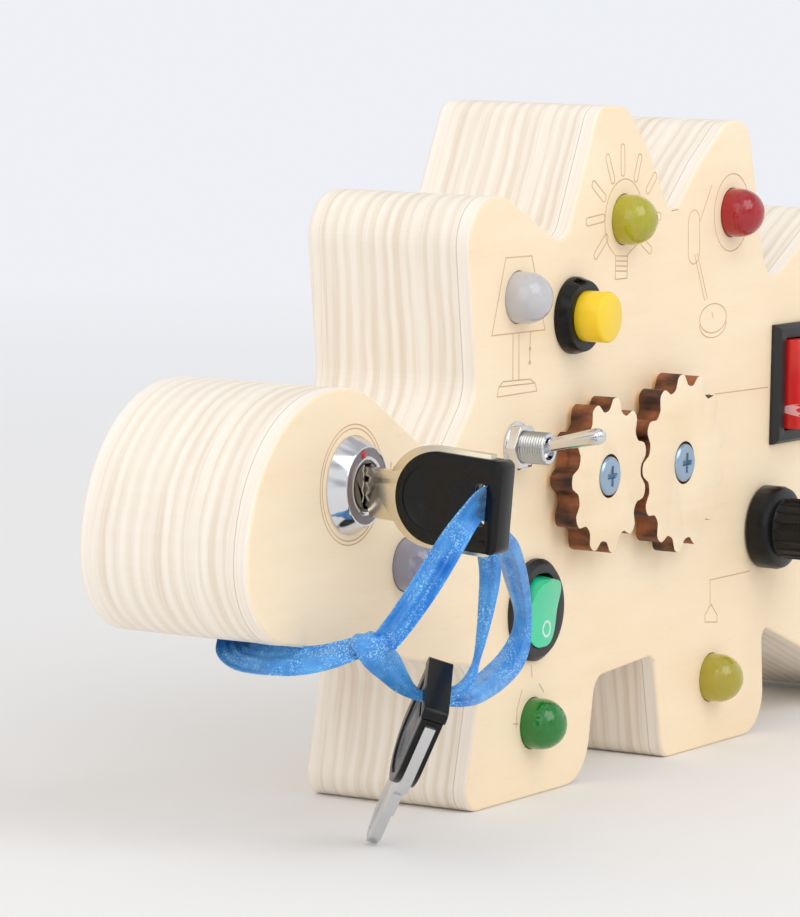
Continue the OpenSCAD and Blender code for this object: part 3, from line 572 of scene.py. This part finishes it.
TAIL_LOW = [(-126.4, 17.6, 41, -0.8, 0.6, 0, 3), (-127.2, 17.3, 38.2, -0.8, 0.6, 0, 3.4),
            (-129.2, 15.6, 36.4, -0.9, 0.3, -0.3, 4), (-131.6, 11.5, 35.3, -0.9, 0, -0.5, 3.6),
            (-134.8, 4.5, 35.4, -0.9, 0, -0.5, 3.6), (-134.7, -3, 36, -0.8, 0, -0.6, 3.6),
            (-133.4, -9.2, 37.4, -0.8, 0.1, -0.6, 3.2), (-130.9, -12.6, 39.2, -0.7, 0.2, -0.7, 2.8),
            (-128.2, -14.2, 40, -0.6, 0.3, -0.7, 2)]
TAIL_HIGH = [(-125.4, 15, 41, -0.8, 0.6, 0, 3), (-125.8, 14.7, 38.7, -0.8, 0.6, 0, 3.4),
             (-128, 12, 37.2, -0.9, 0.2, -0.3, 4), (-130.9, 4, 37.5, -0.9, 0, -0.5, 3.6),
             (-131, -4, 38.4, -0.9, 0, -0.5, 3.4), (-130.2, -9.4, 39.7, -0.8, 0, -0.6, 3.2),
             (-128.8, -12.6, 40.9, -0.7, 0.1, -0.7, 2.4),
             (-127.4, -14.2, 40.6, -0.7, 0.1, -0.7, 2)]
FRONT_RUN = [(-127, -16, 40.9, 0.45, -0.7, -0.55, 5), (-125.7, -19.7, 46.1, 0.42, -0.7, -0.6, 5.2),
             (-124, -23.7, 52.9, 0.42, -0.7, -0.6, 5.4), (-122.6, -27.2, 59.4, 0.35, -0.6, -0.7, 5.2),
             (-120.6, -28.9, 63.4, 0.25, -0.45, -0.85, 5), (-118, -29.3, 65.6, 0.1, -0.3, -0.95, 5.8),
             (-115, -29.3, 65.9, 0, -0.1, -1, 6.8), (-112.4, -29.2, 65.5, 0, 0, -1, 6.4)]
LOOP_RUN = [(-110.8, -27.9, 63.4, 0.2, -0.4, -0.9, 4.6), (-103.3, -26, 59.2, 0.4, -0.8, -0.2, 4.4),
            (-95.2, -23.4, 54.9, 0.5, -0.85, 0.1, 4.8), (-83.1, -18.7, 47, 0.5, -0.85, 0.1, 4.6),
            (-75.2, -15.7, 38.9, 0.5, -0.8, -0.2, 3.4), (-78, -15.7, 33, 0.4, -0.65, -0.65, 5),
            (-88.6, -17.7, 30.3, 0.35, -0.55, -0.75, 5.2), (-101.5, -20.8, 29.4, 0.3, -0.5, -0.8, 4.6),
            (-108.2, -22.4, 29.1, 0.3, -0.4, -0.85, 3), (-111.4, -21.1, 29, -0.3, -0.5, -0.8, 2.3),
            (-113.4, -18.3, 29.2, -0.8, -0.4, -0.5, 2.1)]
STRAIGHT_RUN = [(-107.6, -24.2, 60.3, 0.5, -0.85, 0, 3.8), (-104.4, -24.3, 55.8, 0.5, -0.85, 0, 4.2),
                (-103.1, -24.2, 51.4, 0.5, -0.85, 0, 4), (-102.3, -23.2, 45.7, 0.5, -0.85, 0, 3.2),
                (-102.4, -22.2, 39.2, 0.5, -0.85, 0, 2), (-103.8, -22, 35.2, 0.5, -0.8, -0.3, 1.4),
                (-107.6, -22.7, 32, 0.4, -0.7, -0.6, 2.6), (-110.8, -21.8, 30.4, 0.3, -0.5, -0.8, 2.6),
                (-113.2, -18.6, 29.9, -0.5, -0.5, -0.7, 2.2)]
KNOT_RUN = [(-113.4, -18.3, 29.2, -0.8, -0.4, -0.5, 2.1), (-115.1, -15.9, 30.5, -0.6, 0, -0.8, 2.9),
            (-118.4, -15.2, 32.9, -0.45, 0.3, -0.8, 4.8), (-123.2, -15.6, 35.8, -0.35, 0.5, -0.8, 5.8),
            (-128.6, -16, 38.6, -0.4, 0.6, -0.65, 6), (-130.6, -15, 41.4, -0.45, 0.8, -0.4, 6),
            (-128.4, -13, 42.4, -0.45, 0.8, -0.4, 5.6), (-126.1, -12.7, 41.3, -0.45, 0.8, -0.4, 5),
            (-125, -13.8, 40, -0.45, 0.8, -0.4, 4.4)]

# %% Sweep one strand
# A strip narrower than the full width has its creases flattened in proportion.
ACROSS = 12
RIBBON_T = 0.28 * MM
FULL_WIDTH = 5 * MM
WEAVE_SPAN = 40


def smooth_stops(stops, steps=6):
    """A smooth row of stops through the chosen ones."""
    given = [Vector(stop) for stop in stops]
    row = []
    for i in range(len(given) - 1):
        a, b = given[max(i - 1, 0)], given[i]
        c, d = given[i + 1], given[min(i + 2, len(given) - 1)]
        for k in range(steps):
            t = k / steps
            row.append(0.5 * (2 * b + (c - a) * t + (2 * a - 5 * b + 4 * c - d) * t * t
                              + (3 * b - a - 3 * c + d) * t ** 3))
    return row + [given[-1]]


def strand_section(width, share, fold):
    """One cross-section of the strip, side to side over the top and back underneath.

    The main crease sways along the strand, a second one lies beside it, and small waves run over both.
    """
    crease = 0.25 + 0.2 * math.sin(2.5 * share)

    def lift(s):
        second = -0.35 * max(0, 1 - abs(s + 0.45) / 0.4)
        waves = 0.12 * fold * math.sin(6 * s + 9 * share)
        return fold * (abs(s - crease) - 0.5 + second) + waves

    sides = [2 * k / ACROSS - 1 for k in range(ACROSS + 1)]
    tops = [(s * width / 2, lift(s) + RIBBON_T / 2) for s in sides]
    return tops + [(x, z - RIBBON_T) for x, z in reversed(tops)]


def strand(name, stops, fold):
    """Sweeps the creased strip along its stops. Fold is the height of its creases, in millimetres."""
    row = smooth_stops(stops)
    line = [Vector(stop[:3]) * MM for stop in row]
    mesh = bmesh.new()
    uv = mesh.loops.layers.uv.new("ribbon")
    rings = []
    for i, (centre, stop) in enumerate(zip(line, row)):
        t = (line[min(i + 1, len(line) - 1)] - line[max(i - 1, 0)]).normalized()
        side = Vector(stop[3:6])
        across = (side - t * side.dot(t)).normalized()
        out = across.cross(t)
        width = stop[6] * MM
        share = i / (len(line) - 1)
        section = strand_section(width, share, fold * MM * min(1, width / FULL_WIDTH))
        rings.append([mesh.verts.new(centre + across * x + out * z) for x, z in section])
    count = len(rings[0])
    for i in range(len(rings) - 1):
        for k in range(count):
            m = (k + 1) % count
            face = mesh.faces.new((rings[i][k], rings[i][m], rings[i + 1][m], rings[i + 1][k]))
            corners = ((i, k), (i, k + 1), (i + 1, k + 1), (i + 1, k))
            for loop, (ring, column) in zip(face.loops, corners):
                loop[uv].uv = (ring / WEAVE_SPAN, abs(column - ACROSS) / WEAVE_SPAN)
    mesh.faces.new(list(reversed(rings[0])))
    mesh.faces.new(rings[-1])
    bmesh.ops.recalc_face_normals(mesh, faces=mesh.faces)
    piece = new_piece(name, bpy.data.meshes.new(name))
    mesh.to_mesh(piece.data)
    mesh.free()
    modify(piece, "SUBSURF", levels=1, render_levels=1)
    smooth(piece, ROUND)
    piece.data.materials.append(SATIN)
    return piece, line


def length_of(line):
    return sum((b - a).length for a, b in zip(line, line[1:]))


def declare(piece, line):
    """Prints a strand's name and its own measured length."""
    print(piece.name, round(length_of(line) * 1000, 1), "mm")


# %% The strands
for name, stops in (("tail_low", TAIL_LOW), ("tail_high", TAIL_HIGH)):
    piece, line = strand(name, stops, 0.9)
    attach(piece, "board")
    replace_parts(piece, "ribbon_tail")
    declare(piece, line)

front, line = strand("front_strand", FRONT_RUN, 2.2)
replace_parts(front, "ribbon_front")
declare(front, line)
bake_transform(front)

loop, line = strand("loop_strand", LOOP_RUN, 1.6)
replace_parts(loop, "ribbon_back")
declare(loop, line)
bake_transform(loop)

straight, line = strand("straight_strand", STRAIGHT_RUN, 1.3)
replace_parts(straight, "ribbon_back")
declare(straight, line)
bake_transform(straight)

# %% The knot
# The strand from the spare key goes over the others, round them and back under itself. Inside it sits
# what is left of the knot: a small gathered lump of the same ribbon.
wrap, line = strand("knot_wrap", KNOT_RUN, 1.2)
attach(wrap, "board")
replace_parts(wrap, "ribbon_knot")
declare(wrap, line)

KNOT_AT, KNOT_RADIUS = Vector((-127.2, -14.6, 40.2)) * MM, 2.5 * MM
LUMP_SCALE, LUMP_HEIGHT = 0.7, 0.6


def knot_core():
    bpy.ops.object.select_all(action="DESELECT")
    bpy.ops.mesh.primitive_uv_sphere_add(segments=32, ring_count=20, radius=KNOT_RADIUS, location=KNOT_AT)
    piece = bpy.context.active_object
    settle(piece)
    piece.data.uv_layers.active.name = "ribbon"
    for point in piece.data.vertices:
        ray = (point.co - KNOT_AT) / MM
        point.co += ray.normalized() * noise.noise(ray * LUMP_SCALE) * LUMP_HEIGHT * MM
    smooth(piece, ROUND)
    finish_piece(piece, "knot_core", "board", SATIN)


knot_core()

# %% [markdown]
# ## Soft edges on sharp parts
# The frame's solids have mathematically sharp edges, which real wood, plastic and metal never have. A
# copy of each such solid is merged into clean faces and bevelled: the two outer boards along the outline,
# as if sanded, and the rest by one to four tenths of a millimetre, just enough to catch the light.

# %% Copy a solid and soften it
MERGE_WITHIN = 0.002 * MM
FLAT_WITHIN, SHARP_ABOVE = math.radians(0.6), math.radians(30)


def copy_solid(node, name):
    piece = new_piece(name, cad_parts[node].data.copy())
    clean(piece, MERGE_WITHIN)
    everything(piece)
    bpy.ops.mesh.dissolve_limited(angle_limit=FLAT_WITHIN)
    leave()
    return piece


def soften(node, body, stuff, edge, segments=2):
    """Copies a solid and bevels its sharp edges, each by the given width in millimetres."""
    piece = copy_solid(node, node + "_finished")
    modify(piece, "BEVEL", width=edge * MM, segments=segments, limit_method="ANGLE",
           angle_limit=SHARP_ABOVE, harden_normals=False, miter_outer="MITER_ARC")
    smooth(piece, FLAT_SIDED)
    finish_piece(piece, node + "_finished", body, stuff)
    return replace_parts(piece, node)


# %% The outer boards
ROUND_OVER = 0.7 * MM
AT_LEVEL = 0.01 * MM


def outer_loop(piece, level):
    """The edges of the board's own outline at one depth.

    They lie between a flat face and a side wall, and of the loops that such edges form, the outline is the
    one that reaches furthest along the board.
    """
    mesh = bmesh.new()
    mesh.from_mesh(piece.data)
    mesh.edges.ensure_lookup_table()
    at_level = [e for e in mesh.edges if all(abs(v.co.y - level) < AT_LEVEL for v in e.verts)
                and sorted(round(abs(f.normal.y)) for f in e.link_faces) == [0, 1]]
    groups, left = [], set(at_level)
    while left:
        stack, loop = [left.pop()], []
        while stack:
            line = stack.pop()
            loop.append(line)
            for point in line.verts:
                for other in point.link_edges:
                    if other in left:
                        left.discard(other)
                        stack.append(other)
        groups.append(loop)
    longest = max(groups, key=lambda loop: max(v.co.x for e in loop for v in e.verts)
                  - min(v.co.x for e in loop for v in e.verts))
    indices = {e.index for e in longest}
    mesh.free()
    return indices


def round_over(node, level, stuff):
    piece = copy_solid(node, node + "_finished")
    indices = outer_loop(piece, level)
    edit(piece, "EDGE")
    bpy.ops.mesh.select_all(action="DESELECT")
    leave()
    for line in piece.data.edges:
        line.select = line.index in indices
    bpy.ops.object.mode_set(mode="EDIT")
    bpy.ops.mesh.bevel(offset=ROUND_OVER, segments=5, profile=0.5, affect="EDGES",
                       clamp_overlap=False)
    leave()
    smooth(piece, FLAT_SIDED)
    finish_piece(piece, node + "_finished", "board", stuff)
    print(node, "outline edges rounded:", len(indices))
    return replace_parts(piece, node)


round_over("front_panel", FACE_Y, PANEL_WOOD)
round_over("back_panel", BACK_Y, PANEL_WOOD)

# %% Materials on the solids that stay
KEEP = {
    "body_core": CORE_WOOD, "back_screws": ZINC, "battery_tray": HOUSING, "battery_cells": CELL,
    "battery_contacts": ZINC, "battery_cover_screw": ZINC, "gear_spacers": STEEL, "gear_nuts": ZINC,
    "lock_nut": STEEL, "toggle_body": SWITCH_BROWN, "button_nut": STEEL, "knob_switch": STEEL,
    "knob_nut": STEEL, "knob_shaft": STEEL, **LENSES,
}


def recolour(node, stuff):
    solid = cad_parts[node]
    solid.data.materials.clear()
    solid.data.materials.append(stuff)
    smooth(solid, FLAT_SIDED)


for node, stuff in KEEP.items():
    recolour(node, stuff)

# %% Hard parts with softened edges
soften("battery_cover", "board", HOUSING, 0.3)
soften("large_gear", "large_gear_body", GEAR_WOOD, 0.18)
soften("small_gear", "small_gear_body", GEAR_WOOD, 0.18)
soften("gear_screws", "board", ZINC, 0.08)
soften("lock_plug", "key", LOCK_DARK, 0.08)
soften("key_blade", "key", BOW_NICKEL_WOOD_REFLECTION, 0.15)
soften("spare_key_blade", "spare_key", SPARE_NICKEL, 0.15)
soften("toggle_nut", "board", CHROME, 0.15)
soften("toggle_bushing", "board", CHROME, 0.12)
soften("toggle_lever", "toggle", CHROME, 0.1)
soften("button_body", "board", COLLAR_BLACK, 0.25, 3)
soften("button_cap", "button", BUTTON_YELLOW, 0.2)
soften("rocker_frame", "board", FRAME_GREY, 0.35, 3)
RED_ROCKER = soften("rocker_actuator", "red_rocker", SWITCH_RED, 0.4, 3)
soften("round_rocker_body", "board", FRAME_GREY, 0.3, 3)
GREEN_ROCKER = soften("round_rocker_actuator", "green_rocker", SWITCH_GREEN, 0.4, 3)
soften("knob", "selector", KNOB_BLACK, 0.12)
soften("key_head", "key", KEY_BLACK, 0.3)
soften("spare_key_head", "spare_key", KEY_BLACK, 0.3)

# %% [markdown]
# ## Turned parts
# The lock's bezel and the thread of the toggle switch are turned on a lathe, so they are made by one:
# a profile of a few points, each a radius and a height above the board's face, is spun round its axis.

# %% The lathe


def on_face(x, z, out=0.0):
    """A place given in mm along and up the board's face, and out of it."""
    return Vector((x * MM, FACE_Y - out * MM, z * MM))


def lathe(name, profile, x, z, steps=64, closed=False):
    centre = on_face(x, z)
    mesh = bpy.data.meshes.new(name)
    count = len(profile)
    lines = [(i, (i + 1) % count) for i in range(count if closed else count - 1)]
    mesh.from_pydata([centre + Vector((r, -out, 0)) * MM for r, out in profile], lines, [])
    piece = new_piece(name, mesh)
    everything(piece)
    bpy.ops.mesh.spin(steps=steps, angle=2 * math.pi, center=centre, axis=(0, 1, 0))
    leave()
    clean(piece)
    smooth(piece, TURNED)
    return piece


# %% The lock
# The bezel is a wide shining cone with a rim. Inside it lies a flat satin ring, then a bright lip round
# the plug. The barrel behind it goes through the board.
LOCK_X, LOCK_Z, LOCK_STEPS = -115, 67.3, 96
BARREL = [(0, -25), (7.1, -25), (7.9, -24.2), (7.9, 0)]
BEZEL = [(9.1, 0), (9.1, 0.35), (8.95, 0.6), (7.45, 3.15), (7.3, 3.3), (7.05, 3.3), (6.95, 3.12),
         (5.35, 3.12), (5.3, 3.35), (4.95, 3.35), (4.75, 3.2), (4.75, -23), (0, -23)]
SATIN_RING = [(5.42, 3.1), (6.92, 3.1), (6.92, 3.16), (5.42, 3.16)]
TAB_APART, TAB_OUT, TAB_SIZE = 4, -27, (0.8 * MM, 4 * MM, 3 * MM)


def lock_tabs():
    """The two contact tabs at the end of the barrel."""
    bpy.ops.object.select_all(action="DESELECT")
    for side in (-1, 1):
        place = on_face(LOCK_X + TAB_APART * side, LOCK_Z, TAB_OUT)
        bpy.ops.mesh.primitive_cube_add(size=1, location=place, scale=TAB_SIZE)
        tab = bpy.context.active_object
        settle(tab)
        modify(tab, "BEVEL", width=0.15 * MM, segments=2)
        finish_piece(tab, f"lock_tab_{side + 2}", "board", ZINC)


bezel = lathe("lock_bezel", BARREL + BEZEL, LOCK_X, LOCK_Z, LOCK_STEPS)
finish_piece(bezel, "lock_bezel", "board", CHROME)
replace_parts(bezel, "lock_body")
lock_face = lathe("lock_face", SATIN_RING, LOCK_X, LOCK_Z, LOCK_STEPS, closed=True)
finish_piece(lock_face, "lock_face", "board", LOCK_SATIN)
lock_tabs()

DOT_AT = on_face(-116.3, 73.1, 3.12)
DOT_SHAPE = (0.85, 0.4, 0.85)


def lock_dot():
    """A drop of red paint on the satin ring: a flattened ball, cut off at the ring."""
    bpy.ops.object.select_all(action="DESELECT")
    bpy.ops.mesh.primitive_uv_sphere_add(segments=24, ring_count=16, radius=MM, location=DOT_AT,
                                         scale=DOT_SHAPE)
    dot = bpy.context.active_object
    settle(dot)
    everything(dot)
    bpy.ops.mesh.bisect(plane_co=DOT_AT, plane_no=(0, 1, 0), clear_outer=True, use_fill=True)
    leave()
    clean(dot)
    print("dot mended:", dot.data.validate())
    smooth(dot, ROUND)
    finish_piece(dot, "lock_dot", "board", DOT_RED)


lock_dot()

# %% The thread of the toggle switch
# Each turn of the thread is a closed ring. The rings lie close together, as the turns of a screw do.
TOGGLE_X, TOGGLE_Z = -54.4, 69.5
ROOT, CREST, BORE = 2.93, 3.14, 2.7
THREAD_START, THREAD_PITCH, TURNS = 2.45, 0.55, 9
THREAD_END = THREAD_START + THREAD_PITCH * TURNS
THREAD = []
for i in range(TURNS):
    THREAD += [(ROOT, THREAD_START + THREAD_PITCH * i), (CREST, THREAD_START + THREAD_PITCH * (i + 0.5))]
THREAD += [(ROOT, THREAD_END), (BORE, THREAD_END), (BORE, THREAD_START)]
thread = lathe("toggle_thread", THREAD, TOGGLE_X, TOGGLE_Z, 48, closed=True)
finish_piece(thread, "toggle_thread", "board", STEEL)

# %% [markdown]
# ## Drawings on the board
# A fine laser has drawn a lamp, a bulb and other small things on the board, in lines a quarter of a
# millimetre wide. Each line is a flat strip with mitred corners, given a thickness that sits in the wood,
# so it has the colour of burnt wood from every side. The same strips, dropped onto a rocker, make its
# printed mark.

# %% Lines of an even width
# At a sharp corner a mitre would run out to a spike, so it stops here.
MITRE_LIMIT = 0.4


def strip(points, width, closed=False):
    """The two sides of a line, as pairs of points, mitred at its corners."""
    count = len(points)
    pairs = []
    for i, point in enumerate(points):
        here = Vector(point)
        before = Vector(points[i - 1]) if closed or i else here
        after = Vector(points[(i + 1) % count]) if closed or i < count - 1 else here
        ways = [way.normalized() for way in (here - before, after - here) if way.length > 1e-9]
        mean = (ways[0] + ways[-1]).normalized()
        side = Vector((-mean.y, mean.x)) * width / 2
        side /= max(MITRE_LIMIT, mean.dot(ways[0]))
        pairs.append((here + side, here - side))
    return pairs


def lay_lines(name, lines, place, stuff, body, thick=0.05):
    """Makes one piece of several lines. Place gives each flat point its place in the scene."""
    spots, faces = [], []
    for k, (points, width, closed) in enumerate(lines):
        pairs = strip(points, width, closed)
        first = len(spots)
        for left, right in pairs:
            spots += [place(left, k), place(right, k)]
        for i in range(len(pairs) if closed else len(pairs) - 1):
            a, b = first + 2 * i, first + 2 * ((i + 1) % len(pairs))
            faces.append((a, a + 1, b + 1, b))
    mesh = bpy.data.meshes.new(name)
    mesh.from_pydata(spots, [], faces)
    piece = new_piece(name, mesh)
    modify(piece, "SOLIDIFY", thickness=thick * MM, offset=0)
    clean(piece, 0.0005 * MM)
    return finish_piece(piece, name, body, stuff)


def arc(x, z, radius, start=0, end=360, steps=48, squash=1):
    """Points along an arc. A whole circle leaves out the last one, which would be the first again."""
    count = steps if end - start >= 360 else steps + 1
    turns = [math.radians(start + (end - start) * i / steps) for i in range(count)]
    return [(x + radius * math.cos(t), z + radius * squash * math.sin(t)) for t in turns]


def capsule(ax, az, bx, bz, width):
    """The outline of a short bar with round ends."""
    way = math.degrees(math.atan2(bz - az, bx - ax))
    far_end = arc(bx, bz, width / 2, way - 90, way + 89.9, 8)
    near_end = arc(ax, az, width / 2, way + 90, way + 269.9, 8)
    return far_end + near_end


FINE = 0.24
LOWEST, STEP_OUT = -0.005, 0.002


def on_board(spot, k):
    """A place on the board's face. Lines that cross lie at different heights, so they never coincide."""
    return on_face(spot.x, spot.y, LOWEST + STEP_OUT * (k % 6))


def engrave(name, opened=(), outlines=(), width=FINE):
    lines = [(points, width, False) for points in opened] + [(points, width, True) for points in outlines]
    piece = lay_lines(name, lines, on_board, ENGRAVED, "board")
    print(name, len(lines), "lines")
    return piece


# %% The table lamp and the bulb
engrave("drawn_table_lamp",
        [[(-56.3, 91.3), (-56, 82.4)], [(-54, 91.3), (-53.6, 82.2)], [(-49.5, 91.3), (-49.5, 85)],
         [(-59.8, 82.3), (-49.3, 82.1)], [(-61.4, 81.4), (-47.2, 81.2)],
         [(-59.8, 82.3), (-61.4, 81.4), (-62, 79.5)], [(-49.3, 82.1), (-47.2, 81.2), (-46.4, 79.6)],
         [(-62, 79.5), (-46.4, 79.6)]],
        [[(-59.7, 106), (-49.5, 105.9), (-43.7, 91.3), (-64.5, 91.4)],
         arc(-49.5, 88, 0.3, steps=12), arc(-49.5, 85.3, 0.35, steps=12)])

RAYS = [(-19.6, 123.8, -17.3, 119.4), (-13.4, 125.6, -13.1, 120.8), (-6.1, 123.4, -7.6, 119.5),
        (-25.1, 118.7, -20.8, 116), (-27.2, 111.5, -21.1, 112), (-23.6, 104.8, -19.6, 108),
        (-2.3, 116.9, 0.5, 119.5), (-4, 106.5, -0.9, 104.8), (-3.3, 111.4, 2.8, 111.4)]
BASE_LEFT, BASE_RIGHT = -15.4, -10.4
glass = arc(-12.2, 111.4, 8, -38, 218)
engrave("drawn_bulb",
        [[(BASE_RIGHT, 99.6), (BASE_RIGHT, 104.3), (-8.6, 105.2)] + glass
         + [(-16.8, 105.2), (BASE_LEFT, 104.3), (BASE_LEFT, 99.6)],
         [(BASE_LEFT, 99.6), (BASE_RIGHT, 99.6)]]
        + [[(BASE_LEFT, z + 0.3), (BASE_RIGHT, z)] for z in (104, 103, 102, 101)],
        [capsule(*ray, 1.6) for ray in RAYS])

# %% The desk lamp, the switch line and the pendant
engrave("drawn_desk_lamp",
        [[(20.7, 109.5), (25.7, 116.9)], [(18.7, 103), (23.7, 93.3)], [(19.9, 103.2), (24.9, 93.5)],
         [(27.1, 90.7), (27.7, 89.4)], arc(27.7, 88.4, 6, 180, 359.9, 24, 0.5),
         [(29.4, 73.6), (53.9, 73.3)]],
        [arc(35.1, 110.9, 8), capsule(18.1, 109.6, 18.4, 103.5, 5), arc(27.7, 89.4, 6, squash=0.5),
         arc(26.7, 73.4, 0.4, steps=12)])
engrave("drawn_plug_line", [[(47.7, 34.9), (29.3, 34.9), (29.6, 30)]],
        [[(30, 29.8), (27.4, 27.8), (27.5, 26.3), (33, 25.7), (32.9, 27.2)]])
engrave("drawn_pendant",
        [[(-46.4, 26.1), (-45.9, 23.6)], [(-49.8, 21.6), (-51.6, 18), (-51.8, 14.5)],
         [(-43, 22), (-41, 20.1)], [(-53.1, 15.3), (-51.1, 15.1)]])

# %% Round the lock
engrave("drawn_lock_rings", outlines=[arc(LOCK_X, LOCK_Z, r, steps=72) for r in (10.3, 11.05)])
engrave("drawn_key", [[(-101.2, 70.3), (-101.2, 68.3)], [(-100.5, 69.2), (-96.1, 69.2)]], width=0.4)

# %% Marks printed on the rockers


def printed_ring(name, x, z, radius, width, onto, body, stuff):
    """A ring dropped from in front onto a rocker, so that it follows the rocker's own surface."""

    def dropped(spot, k):
        hit, place, normal, _ = onto.ray_cast(on_face(spot.x, spot.y, 60), Vector((0, 1, 0)))
        return place + normal * 0.01 * MM if hit else on_face(spot.x, spot.y, 5)

    ring = [(arc(x, z, radius, steps=40), width, True)]
    return lay_lines(name, ring, dropped, stuff, body, 0.06)


printed_ring("green_mark", -44.3, 33.1, 1.45, 0.5, GREEN_ROCKER, "green_rocker",
             MARK_PALE)
printed_ring("red_mark", 60.7, 68.3, 1.5, 0.5, RED_ROCKER, "red_rocker", MARK_PINK)

# %% The edge of the keyway
# Beside the key, the plug shows the worn, bright edge of its keyway. The satin ring has a notch, drawn as
# a flat strip of the darker plug metal: painted shade.
WORN = [(-1.3, 3.9), (-1.8, 3.0), (-1.35, 2.3), (-1.95, 1.4), (-1.4, 0.5), (-2.0, -0.6), (-1.35, -1.6),
        (-1.75, -2.8)]
lay_lines("keyway_edge", [([(LOCK_X + x, LOCK_Z + z) for x, z in WORN], 0.25, False)],
          lambda spot, k: on_face(spot.x, spot.y, 3.31), CHROME, "key", 0.08)
# A flat strip of darker metal stands for the notch: painted shade in it.
lay_lines("lock_notch_shade", [([(-109, 68.8), (-108.8, 70)], 0.7, False)],
          lambda spot, k: on_face(spot.x, spot.y, 3.16), LOCK_DARK, "board", 0.06)

# %% [markdown]
# ## Floor and light
# The picture is bright and soft: a pale floor fades into a pale room. A broad lamp stands high before the
# board's face, a weaker one before its nose, and the room itself gives light from all round. Its lighter
# and darker patches are there for the metal to reflect, and the camera sees it as one even tone. Far off
# the floor takes that tone too, so there is no hard horizon.

# %% Floor
ROOM = srgb(238, 240, 245)
FLOOR = srgb(241, 239, 237)
FLOOR_RADIUS, FADE_FROM, FADE_TO = 9, 0.3, 1.3


def add_floor():
    bpy.ops.mesh.primitive_circle_add(vertices=96, radius=FLOOR_RADIUS, fill_type="NGON")
    floor = bpy.context.active_object
    floor.name = "floor"
    stuff, tree, principled = new_material("Floor", 0.75)
    principled.inputs["Base Color"].default_value = FLOOR
    output = tree.nodes["Material Output"]
    place = own_place(tree)
    away = add(tree, "ShaderNodeVectorMath", operation="LENGTH")
    tree.links.new(place, away.inputs[0])
    far = between(tree, away.outputs["Value"], FADE_FROM, FADE_TO)
    light = add(tree, "ShaderNodeEmission")
    light.inputs["Color"].default_value = ROOM
    mix = add(tree, "ShaderNodeMixShader")
    tree.links.new(far, mix.inputs["Fac"])
    tree.links.new(principled.outputs[0], mix.inputs[1])
    tree.links.new(light.outputs[0], mix.inputs[2])
    tree.links.new(mix.outputs[0], output.inputs["Surface"])
    floor.data.materials.append(stuff)
    return floor


add_floor()

# %% Room and lamps
ROOM_LIGHT = 0.96
PATCH_DIM, PATCH_BRIGHT = srgb(196, 198, 202), srgb(252, 253, 255)
MID_BOARD = (0, 0, 0.06)


def light_room():
    world = bpy.data.worlds.new("Room")
    bpy.context.scene.world = world
    world.use_nodes = True
    tree = world.node_tree
    room = tree.nodes["Background"]
    way = add(tree, "ShaderNodeTexCoord").outputs["Generated"]
    around = noise_node(tree, way, (1, 1, 1), 2.2, 1)
    patches = blend_colours(tree, between(tree, around, 0.42, 0.56), PATCH_DIM, PATCH_BRIGHT)
    tree.links.new(patches, room.inputs["Color"])
    room.inputs["Strength"].default_value = ROOM_LIGHT
    seen = add(tree, "ShaderNodeBackground")
    seen.inputs["Color"].default_value = ROOM
    path = add(tree, "ShaderNodeLightPath")
    direct = math_node(tree, "MAXIMUM", path.outputs["Is Camera Ray"], path.outputs["Is Transmission Ray"])
    mix = add(tree, "ShaderNodeMixShader")
    tree.links.new(direct, mix.inputs["Fac"])
    tree.links.new(room.outputs[0], mix.inputs[1])
    tree.links.new(seen.outputs[0], mix.inputs[2])
    tree.links.new(mix.outputs[0], tree.nodes["World Output"].inputs["Surface"])


def area_lamp(name, place, aim, size, power):
    bpy.ops.object.light_add(type="AREA", location=place)
    lamp = bpy.context.active_object
    lamp.name = name
    lamp.data.size = size
    lamp.data.energy = power
    lamp.rotation_euler = (Vector(aim) - Vector(place)).to_track_quat("-Z", "Y").to_euler()


light_room()
area_lamp("key_light", (-0.4, -1.3, 1.3), MID_BOARD, size=1.3, power=9.5)
area_lamp("fill_light", (-1.5, -0.1, 0.9), MID_BOARD, size=1.4, power=4)
bpy.context.scene.view_settings.view_transform = "Standard"
